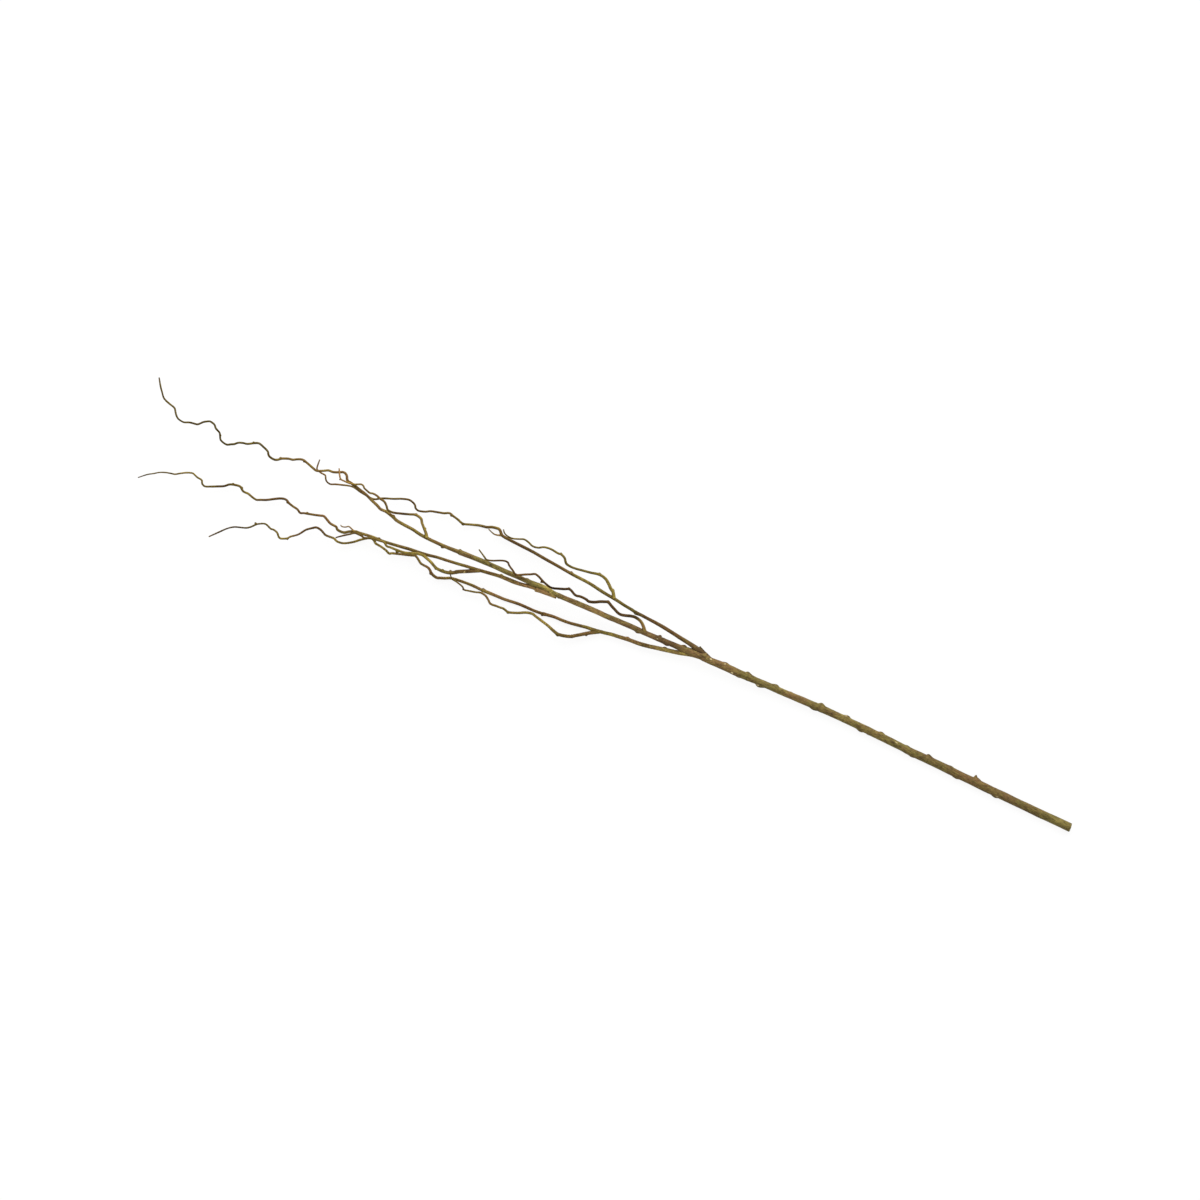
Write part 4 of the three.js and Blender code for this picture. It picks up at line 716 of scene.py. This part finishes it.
def limb_surface(name, settings):
    """A limb's bark as a grid of points, rings along it by faces round it, and what each point carries.
    Each point is the path's place plus its outward direction times the radius, raised by the bark's
    wrinkles and slow swells, which are noise stretched along the grain, by the cosine of a twisted
    grain, and by a bell at each lip where a year's growth ended and under each bud. A bud pulls the
    bark round it to its point: with r the distance from its middle in units of its half length and half
    width, the pull is (1 - r)^BUD_POINT (1 + BUD_SHOULDER r). A scar is sunk a little, inside
    r = SCAR_REACH with a ragged edge. The shade is the limb's tone, times 1 + PALE_GAIN
    (PALE_FROM - thick) / (PALE_FROM - PALE_TO) on thin wood, times 1 plus the patches and the twist,
    with painted shade on the left side, away from the window, and painted light on the right side,
    and darker with painted shade in the creases beyond the lips and where limbs meet."""
    _, sides, wrinkle, pitch = SURFACE[name]
    places, thick, run = path(name)
    growth, left, up = frames(places)
    turn = np.arange(sides) * (2 * math.pi / sides)
    outward = left[:, None] * np.cos(turn)[None, :, None] + up[:, None] * np.sin(turn)[None, :, None]
    radius = np.repeat(thick[:, None] / 2, sides, axis=1)
    span = np.repeat(run[:, None], sides, axis=1)
    grain = np.stack([np.cos(turn) * radius, np.sin(turn) * radius, span], axis=-1)

    tag = sorted(STATIONS).index(name)
    full = np.clip(radius / THICK_WOOD, THIN_SHARE, 1.0)
    relief = settings.wrinkles * wrinkle * (uneven("streak", grain, tag) + uneven("fine", grain, tag))
    relief += full * uneven("slow", grain, tag)
    twist = np.zeros(radius.shape)
    if pitch:
        twist = np.cos(2 * (turn[None] - 2 * math.pi * run[:, None] / pitch))
        relief += TWIST_HEIGHT * twist
    crease = np.zeros(run.shape)
    for where, height in JOINTS.get(name, []):
        offset = run - run[at_along(name, where)]
        relief += (height * bell(offset / np.where(offset < 0, LIP_RISE, LIP_DROP)))[:, None]
        # painted shade in the crease just beyond the lip
        crease += min(height / FULL_LIP, 1.0) * bell((offset - LIP_CREASE) / LIP_DROP)

    bud = np.zeros(radius.shape)
    pull = np.zeros(outward.shape)
    for where, angle, reach, lean, root in BUDS.get(name, []):
        middle = at_along(name, where)
        aim = math.radians(angle)
        ds = run[:, None] - run[middle] - BUD_AHEAD * lean
        dw = radius * wrapped(turn[None] - aim)
        length, width = BUD_LENGTH * root + BUD_STRETCH * reach, BUD_WIDTH * root
        r = np.sqrt((ds / length) ** 2 + (dw / width) ** 2)
        rise = np.clip(1 - r, 0, 1) ** BUD_POINT * (1 + BUD_SHOULDER * np.minimum(r, 1))
        aimed = left[middle] * math.cos(aim) + up[middle] * math.sin(aim)
        pull += rise[..., None] * (reach * settings.buds * aimed + BUD_LEAN * lean * growth[middle])
        cushion = bell(ds / (CUSHION_LENGTH * root)) * bell(dw / (CUSHION_WIDTH * root))
        relief += CUSHION_HEIGHT * reach * cushion
        bud = np.maximum(bud, np.clip(1 - BUD_FADE * r, 0, 1))

    scar = np.zeros(radius.shape)
    for where, angle, half_length, half_width in SCARS.get(name, []):
        ds = (run[:, None] - run[at_along(name, where)]) / half_length
        dw = radius * wrapped(turn[None] - math.radians(angle)) / half_width
        inside = SCAR_REACH + uneven("ragged", grain, tag) - np.sqrt(ds**2 + dw**2)
        scar = np.maximum(scar, np.clip(SCAR_EDGE * inside, 0, 1))
    relief -= SCAR_DEPTH * full * scar

    grid = places[:, None] + outward * (radius + relief)[..., None] + pull
    raised = np.zeros(grid.shape)
    seam = np.zeros(radius.shape)
    for one, two, width in JOINED:
        if name in (one, two):
            other = two if name == one else one
            swell, painted_seam = blend_with(grid, outward, other, width * settings.collars)
            raised += swell
            seam = np.maximum(seam, painted_seam)

    young = np.clip((OLD_RADIUS - radius) / (OLD_RADIUS - YOUNG_RADIUS), 0, 1)
    along, *tones = np.array(TONES[name], float).T
    olive, flush, shade = (
        np.repeat(np.interp(places[:, 0], along, tone)[:, None], sides, axis=1) for tone in tones
    )
    thin = np.clip((PALE_FROM - thick) / (PALE_FROM - PALE_TO), 0, 1)[:, None]
    patches = uneven("patch", grain, tag) + uneven("blotch", grain, tag)
    # painted shade on the left side, which faces away from the window, and painted light on the right
    # side
    side = (PAINTED_SIDE_SHADE + YOUNG_PAINTED_SIDE_SHADE * young) * np.cos(turn)
    shade = shade * (1 + PALE_GAIN * thin) * (1 + TWIST_SHADE * twist + patches - side)
    marks = {
        "grain": grain,
        "olive": olive + uneven("olive", grain, tag),
        "flush": flush + uneven("flush", grain, tag),
        # painted shade in the creases beyond the lips and where limbs meet
        "shade": shade * (1 - PAINTED_CREASE_SHADE * crease[:, None]) * (1 - PAINTED_SEAM_SHADE * seam),
        "scar": scar,
        "bud": bud,
        "young": young,
        "cut": np.zeros(radius.shape),
    }
    return grid + raised, marks


def saw_cut(grid, marks):
    """Adds the sawn end to the stem's grid. The first rings lean with the saw: each point moves back
    by its distance aside times the tangent of the slant, less the further it is from the cut. The face
    is the same outline drawn in towards the pith, its radius times 1 - share: two rings for the worn
    rim, then even steps over flat wood, with a cosine of the distance aside for the marks of the saw's
    teeth, which die out towards the pith."""
    fade = np.clip(1 - grid[..., 0] / CUT_FADE, 0, 1)
    grid[..., 0] -= grid[..., 1] * math.tan(math.radians(CUT_SLANT)) * fade
    rim = grid[0]
    pith = rim.mean(0)
    across = rim - pith
    worn = RIM_WIDTH / BUTT_RADIUS
    share = np.concatenate([[worn / 2], np.linspace(worn, 1, CUT_RINGS)[:-1]])[:, None]
    rings = pith + across[None] * (1 - share)[..., None]
    radius = np.linalg.norm(across, axis=-1)[None] * (1 - share)
    ripple = SAW_RIPPLE * np.cos(2 * math.pi * rings[1:, :, 1] / SAW_PITCH)
    rings[1:, :, 0] += ripple * radius[1:] / radius[0]
    grid[0, :, 0] += RIM_BACK * RIM_WIDTH
    rings[0, :, 0] += RIM_FRONT * RIM_WIDTH

    turn = np.arange(grid.shape[1]) * (2 * math.pi / grid.shape[1])
    flat = np.zeros(radius.shape)
    face = dict.fromkeys(marks, flat)
    face["grain"] = np.stack([np.cos(turn) * radius, np.sin(turn) * radius, flat], axis=-1)
    face["olive"] = np.repeat(marks["olive"][:1], CUT_RINGS, axis=0)
    face["shade"] = flat + 1
    face["cut"] = flat + 1
    face["cut"][0] = CUT_EDGE
    whole = np.concatenate([rings[::-1], grid])
    return whole, {key: np.concatenate([face[key][::-1], marks[key]]) for key in marks}


def add_piece(name, grid, marks, material):
    """Makes a closed tube of a grid of points in millimetres: a four-sided face between each two rings
    and each two neighbours round them, and a fan of three-sided faces from each end ring to its middle.
    What the grid carries goes into attributes of its points."""
    rings, sides, _ = grid.shape
    low, high = (np.array(corner) / MM for corner in CAD_BOX)
    grid = np.clip(grid - ORIGIN, low, high)
    points = np.vstack([grid.reshape(-1, 3), grid[0].mean(0), grid[-1].mean(0)]) * MM
    here = np.arange(sides)
    there = (here + 1) % sides
    ring = np.arange(rings - 1)[:, None] * sides
    quads = np.stack([ring + here, ring + there, ring + sides + there, ring + sides + here], axis=-1)
    first, last = np.full(sides, rings * sides), np.full(sides, rings * sides + 1)
    tip = (rings - 1) * sides
    fans = np.vstack([np.stack([first, there, here], 1), np.stack([last, tip + here, tip + there], 1)])
    mesh = bpy.data.meshes.new(name)
    mesh.from_pydata(points.tolist(), [], quads.reshape(-1, 4).tolist() + fans.tolist())
    mesh.shade_smooth()
    for key, values in marks.items():
        flat = values.reshape(rings * sides, -1)
        flat = np.vstack([flat, flat[:sides].mean(0), flat[-sides:].mean(0)])
        kind, slot = ("FLOAT_VECTOR", "vector") if key == "grain" else ("FLOAT", "value")
        mesh.attributes.new(key, kind, "POINT").data.foreach_set(slot, flat.ravel())
    mesh.materials.append(material)
    piece = bpy.data.objects.new(name, mesh)
    bpy.context.scene.collection.objects.link(piece)
    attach(piece, "root")
    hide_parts("branch")


class Link:
    """A socket in shader maths. Arithmetic on it adds Math nodes to its shader."""

    def __init__(self, shader, socket):
        self.shader = shader
        self.socket = socket

    def maths(self, operation, *values):
        """The operation on these values or links, as one Math node."""
        return self.shader.node("ShaderNodeMath", {"operation": operation}, dict(enumerate(values)))

    def __add__(self, other):
        return self.maths("ADD", self, other)

    def __sub__(self, other):
        return self.maths("SUBTRACT", self, other)

    def __rsub__(self, other):
        return self.maths("SUBTRACT", other, self)

    def __mul__(self, other):
        return self.maths("MULTIPLY", self, other)

    __radd__ = __add__
    __rmul__ = __mul__

    def sine(self):
        """Its sine, taken in radians."""
        return self.maths("SINE", self)

    def between(self, low, high):
        """0 below low, 1 above high, and a smooth step between them."""
        settings = {"interpolation_type": "SMOOTHSTEP"}
        values = {"Value": self, "From Min": low, "From Max": high}
        return self.shader.node("ShaderNodeMapRange", settings, values)


class Shader:
    """A material and the nodes that are added to it."""

    def __init__(self, name):
        self.material = bpy.data.materials.new(name)
        self.material.use_nodes = True
        self.tree = self.material.node_tree
        self.tree.nodes.clear()

    def node(self, kind, settings, inputs, output=0):
        """Adds a node, sets it up, then fills its sockets with values or links."""
        node = self.tree.nodes.new(kind)
        for key, value in settings.items():
            setattr(node, key, value)
        for key, value in inputs.items():
            if isinstance(value, Link):
                self.tree.links.new(value.socket, node.inputs[key])
            else:
                node.inputs[key].default_value = value
        return Link(self, node.outputs[output]) if node.outputs else None

    def attribute(self, name, output="Fac"):
        """What the mesh carries under that name: a number, or a vector where output is Vector."""
        return self.node("ShaderNodeAttribute", {"attribute_name": name}, {}, output)

    def scaled(self, vector, factors):
        """A vector times another, part by part."""
        return self.node("ShaderNodeVectorMath", {"operation": "MULTIPLY"}, {0: vector, 1: factors})

    def noise(self, vector, fineness, detail, roughness):
        """Smooth noise from 0 to 1, with a fineness of its own along each axis."""
        values = {"Vector": self.scaled(vector, fineness), "Scale": 1.0}
        values |= {"Detail": detail, "Roughness": roughness}
        return self.node("ShaderNodeTexNoise", {}, values)

    def mix(self, factor, one, two, blend="MIX"):
        """One colour, and two where factor is 1."""
        settings = {"data_type": "RGBA", "blend_type": blend}
        values = {MIX_FACTOR: factor, MIX_ONE: one, MIX_TWO: two}
        return self.node("ShaderNodeMix", settings, values, MIX_RESULT)

    def finish(self, values):
        """Ends in one shaded surface with these values or links."""
        surface = self.node("ShaderNodeBsdfPrincipled", {}, values)
        self.node("ShaderNodeOutputMaterial", {}, {"Surface": surface})
        return self.material


def opaque(color):
    """A colour setting as a socket's four numbers."""
    return (*color, 1.0)


def weighted(fields, weights, start=0.0):
    """The sum of fields times their weights, on top of start."""
    return sum((fields[key] * weight for key, weight in weights.items()), start)


def painted(shader, settings, fields, color, layers):
    """Lays the layers over a colour. How full a layer is, the smooth step of its weighted sum from low
    to high, becomes a field under its name, and it covers what is under it by that times its cover."""
    for name, (over, low, high, cover, weights) in layers.items():
        fields[name] = weighted(fields, weights).between(low, high)
        color = shader.mix(fields[name] * cover, color, opaque(getattr(settings, over)))
    return color


def bark_material(settings):
    """Willow bark: olive and tan mottling drawn out along the grain, fine dark furrows and pale
    streaks, raised pores, pale scars, reddish bud tips, and sawn wood on the cut end. Its colour is
    multiplied by the shade that the mesh carries, which young wood turns redder. A year's ring is the
    sine of the distance from the pith."""
    name = "Willow bark"
    if name in bpy.data.materials:
        return bpy.data.materials[name]
    s = Shader(name)
    grain = s.attribute("grain", "Vector")
    fields = {key: s.attribute(key) for key in ("olive", "flush", "shade", "scar", "bud", "young", "cut")}
    fields |= {key: s.noise(grain, *texture) for key, texture in TEXTURES.items()}
    fields["pores"] = s.node(
        "ShaderNodeTexVoronoi",
        {"feature": "F1", "distance": "EUCLIDEAN"},
        {"Vector": s.scaled(grain, PORE_SPACING), "Scale": PORE_SCALE, "Randomness": 1.0},
    )
    color = painted(s, settings, fields, opaque(settings.tan), BARK_LAYERS)
    comes, goes = (fields["scar"].between(*step) for step in SCAR_RIM)
    color = s.mix(comes * (1 - goes) * SCAR_RIM_COVER, color, opaque(settings.dark))
    color = painted(s, settings, fields, color, SCAR_LAYERS)

    shade, young = fields["shade"], fields["young"]
    bleached = shade.between(*BLEACHED) * (1 - fields["green"])
    red = shade * (1 + young * YOUNG_RED)
    blue = shade * (1 - young * YOUNG_BLUE * (1 - bleached))
    shaded = s.node("ShaderNodeCombineColor", {}, {"Red": red, "Green": shade, "Blue": blue})
    color = s.mix(1.0, color, shaded, "MULTIPLY")

    from_pith = s.node("ShaderNodeVectorMath", {"operation": "LENGTH"}, {0: grain}, "Value")
    ring = from_pith + (fields["mottle"] - 0.5) * RING_WANDER
    fields |= {"from_pith": from_pith, "year": (ring * (2 * math.pi / settings.year_ring)).sine()}
    sawn = painted(s, settings, fields, opaque(settings.wood), CUT_LAYERS)
    color = s.mix(fields["cut"].between(*SAWN), color, sawn)

    height = weighted(fields, RELIEF)
    bump = {"Strength": BUMP_STRENGTH, "Distance": settings.bump, "Height": height}
    # Mottle lies round a half, so half its weight comes off.
    rough = weighted(fields, ROUGHER, settings.roughness - ROUGHER["mottle"] / 2)
    return s.finish(
        {
            "Base Color": color,
            "Roughness": rough,
            "Normal": s.node("ShaderNodeBump", {}, bump),
            "Specular IOR Level": SHEEN,
        }
    )


def table_material(settings):
    """Frosted glass with light under it, a little rougher in places."""
    s = Shader("Table")
    mottle = s.noise(s.node("ShaderNodeTexCoord", {}, {}, "Object"), *TABLE_TEXTURE)
    return s.finish(
        {
            "Base Color": opaque(settings.floor),
            "Roughness": TABLE_ROUGHNESS + mottle * TABLE_MOTTLE,
            "Specular IOR Level": 0.0,
            "Emission Color": WHITE,
            "Emission Strength": settings.glow,
        }
    )


# The kinds of setting that a user can change, each with its own subtype, unit or limits.
def color_setting(name, description, default):
    return FloatVectorProperty(name=name, description=description, default=default, subtype="COLOR")


def factor_setting(name, description, default, low, high):
    return FloatProperty(
        name=name, description=description, default=default, min=low, max=high, subtype="FACTOR"
    )


def size_setting(name, description, default):
    return FloatProperty(name=name, description=description, default=default, unit="LENGTH")


def strength_setting(name, description, default):
    return FloatProperty(name=name, description=description, default=default, min=0.0)


def angle_setting(name, description, degrees):
    return FloatProperty(
        name=name, description=description, default=math.radians(degrees), subtype="ANGLE"
    )


class WillowSettings(PropertyGroup):
    """The relief and the colours of the bark."""

    wrinkles: factor_setting("Wrinkles", "Height of the bark's wrinkles, 1 as grown", 1.0, 0.0, 2.0)
    buds: factor_setting("Buds", "How far the buds stand out, 1 as grown", 1.0, 0.0, 1.5)
    collars: factor_setting("Collars", "How far the bark swells in a fork, 1 as grown", 1.0, 0.1, 2.0)
    tan: color_setting("Tan", "Bark where the green has gone", (0.158, 0.104, 0.033))
    olive: color_setting("Olive", "Bark that is still green", (0.138, 0.108, 0.031))
    russet: color_setting("Russet", "Streaks of the sun's flush", (0.141, 0.075, 0.032))
    moss: color_setting("Moss", "The greenest threads of the bark", (0.238, 0.190, 0.050))
    pale: color_setting("Pale", "Worn threads and pores of the bark", (0.264, 0.203, 0.096))
    dark: color_setting("Dark", "Furrows and weathered specks", (0.039, 0.030, 0.011))
    bud: color_setting("Bud", "Dry buds and the inner bark", (0.068, 0.039, 0.017))
    wood: color_setting("Wood", "Bare wood under scars and on the cut", (0.45, 0.36, 0.18))
    roughness: factor_setting("Roughness", "Roughness of the bark", 0.6, 0.0, 1.0)
    bump: size_setting("Bump", "Depth of the finest relief", 0.0003)
    year_ring: FloatProperty(
        name="Year ring", description="Width of a year's ring on the cut end, in millimetres",
        default=1.15, min=0.2,
    )


class TableSettings(PropertyGroup):
    """The table, the light and the camera."""

    floor: color_setting("Table", "Colour of the table's frosted glass top", (0.12, 0.12, 0.12))
    size: size_setting("Table size", "Width of the table", 40.0)
    glow: strength_setting("Glow", "Light that comes up through the table's top", 0.89)
    drop: size_setting("Gap", "How far the table lies under the wood", 0.0001)
    sky: strength_setting("Sky", "Strength of the even light", 0.15)
    key: strength_setting("Key", "Strength of the window light", 4.1)
    fill: strength_setting("Fill", "Strength of the softer light across from the window", 1.35)
    light_height: angle_setting("Light height", "Height of both lights over the table", 36)
    light_spread: angle_setting("Light spread", "How wide both lights are", 70)
    height: size_setting("Camera height", "Height of the camera over the table", 5.4)
    lens: FloatProperty(name="Lens", description="Focal length", default=135.0, unit="CAMERA")


def grow(context, names):
    """Makes each of these limbs."""
    settings = context.scene.willow
    material = bark_material(settings)
    for name in names:
        grid, marks = limb_surface(name, settings)
        if name == "stem":
            grid, marks = saw_cut(grid, marks)
        add_piece(name, grid, marks, material)
    return {"FINISHED"}


class WILLOW_OT_stem(Operator):
    """Grows the stem, with its sawn end, knots and buds"""

    bl_idname = "willow.stem"
    bl_label = "Stem"

    def execute(self, context):
        return grow(context, ["stem"])


class WILLOW_OT_fork_snag(Operator):
    """Leaves the snag of a lost limb at the fork"""

    bl_idname = "willow.fork_snag"
    bl_label = "Fork Snag"

    def execute(self, context):
        return grow(context, ["fork_snag"])


class WILLOW_OT_limbs(Operator):
    """Grows the three limbs of the fork"""

    bl_idname = "willow.limbs"
    bl_label = "Limbs"

    def execute(self, context):
        return grow(context, ["right_limb", "middle_limb", "left_limb"])


class WILLOW_OT_shoots(Operator):
    """Grows the two coiling shoots of the middle limb"""

    bl_idname = "willow.shoots"
    bl_label = "Shoots"

    def execute(self, context):
        return grow(context, ["long_shoot", "second_shoot"])


class WILLOW_OT_twigs(Operator):
    """Grows the side twigs and twiglets"""

    bl_idname = "willow.twigs"
    bl_label = "Twigs"

    def execute(self, context):
        return grow(context, [name for name in STATIONS if name.endswith(("twig", "twiglet"))])


class WILLOW_OT_stage(Operator):
    """Lays the table under the branch and sets up the light and the camera"""

    bl_idname = "willow.stage"
    bl_label = "Table and Light"

    def execute(self, context):
        settings = context.scene.willow_table
        scene = context.scene
        half = settings.size / 2
        corners = [(x * half, y * half, -settings.drop) for x, y in ((-1, -1), (1, -1), (1, 1), (-1, 1))]
        mesh = bpy.data.meshes.new("table")
        mesh.from_pydata(corners, [], [(0, 1, 2, 3)])
        mesh.materials.append(table_material(settings))
        table = bpy.data.objects.new("table", mesh)
        scene.collection.objects.link(table)

        world = bpy.data.worlds.new("Even light")
        world.use_nodes = True
        background = world.node_tree.nodes["Background"].inputs
        background["Strength"].default_value = settings.sky
        background["Color"].default_value = WHITE
        scene.world = world

        for name, strength, turn in (
            ("Window", settings.key, WINDOW_TURN),
            ("Fill", settings.fill, WINDOW_TURN + math.pi),
        ):
            sun = bpy.data.lights.new(name, "SUN")
            sun.energy = strength
            sun.angle = settings.light_spread
            light = bpy.data.objects.new(name, sun)
            light.rotation_euler = (math.pi / 2 - settings.light_height, 0.0, turn)
            scene.collection.objects.link(light)

        lens = bpy.data.cameras.new("Camera")
        lens.lens = settings.lens
        lens.sensor_width = SENSOR
        camera = bpy.data.objects.new("Camera", lens)
        camera.location = (CAMERA_PLACE[0] * MM, CAMERA_PLACE[1] * MM, settings.height)
        camera.rotation_euler = (0.0, 0.0, CAMERA_TURN)
        scene.collection.objects.link(camera)
        scene.camera = camera
        scene.view_settings.view_transform = "Standard"
        return {"FINISHED"}


OPERATORS = (
    WILLOW_OT_stage,
    WILLOW_OT_stem,
    WILLOW_OT_fork_snag,
    WILLOW_OT_limbs,
    WILLOW_OT_shoots,
    WILLOW_OT_twigs,
)


class WILLOW_PT_panel(Panel):
    """Lists the settings and the pieces."""

    bl_label = "Curly Willow Branch"
    bl_idname = "WILLOW_PT_panel"
    bl_space_type = "VIEW_3D"
    bl_region_type = "UI"
    bl_category = "Willow"

    def draw(self, context):
        for settings in (context.scene.willow, context.scene.willow_table):
            box = self.layout.box()
            for key in settings.bl_rna.properties.keys():
                if key not in ("rna_type", "name"):
                    box.prop(settings, key)
        for operator in OPERATORS:
            self.layout.operator(operator.bl_idname)


CLASSES = (WillowSettings, TableSettings, *OPERATORS, WILLOW_PT_panel)


def register():
    """Adds the classes, and the settings to each scene."""
    for each in CLASSES:
        bpy.utils.register_class(each)
    bpy.types.Scene.willow = PointerProperty(type=WillowSettings)
    bpy.types.Scene.willow_table = PointerProperty(type=TableSettings)


def unregister():
    """Takes away what register adds."""
    del bpy.types.Scene.willow_table
    del bpy.types.Scene.willow
    for each in reversed(CLASSES):
        bpy.utils.unregister_class(each)


def main():
    """Lays the branch on its table."""
    register()
    bpy.ops.willow.stage()
    bpy.ops.willow.stem()
    bpy.ops.willow.fork_snag()
    bpy.ops.willow.limbs()
    bpy.ops.willow.shoots()
    bpy.ops.willow.twigs()


if __name__ == "__main__":
    main()
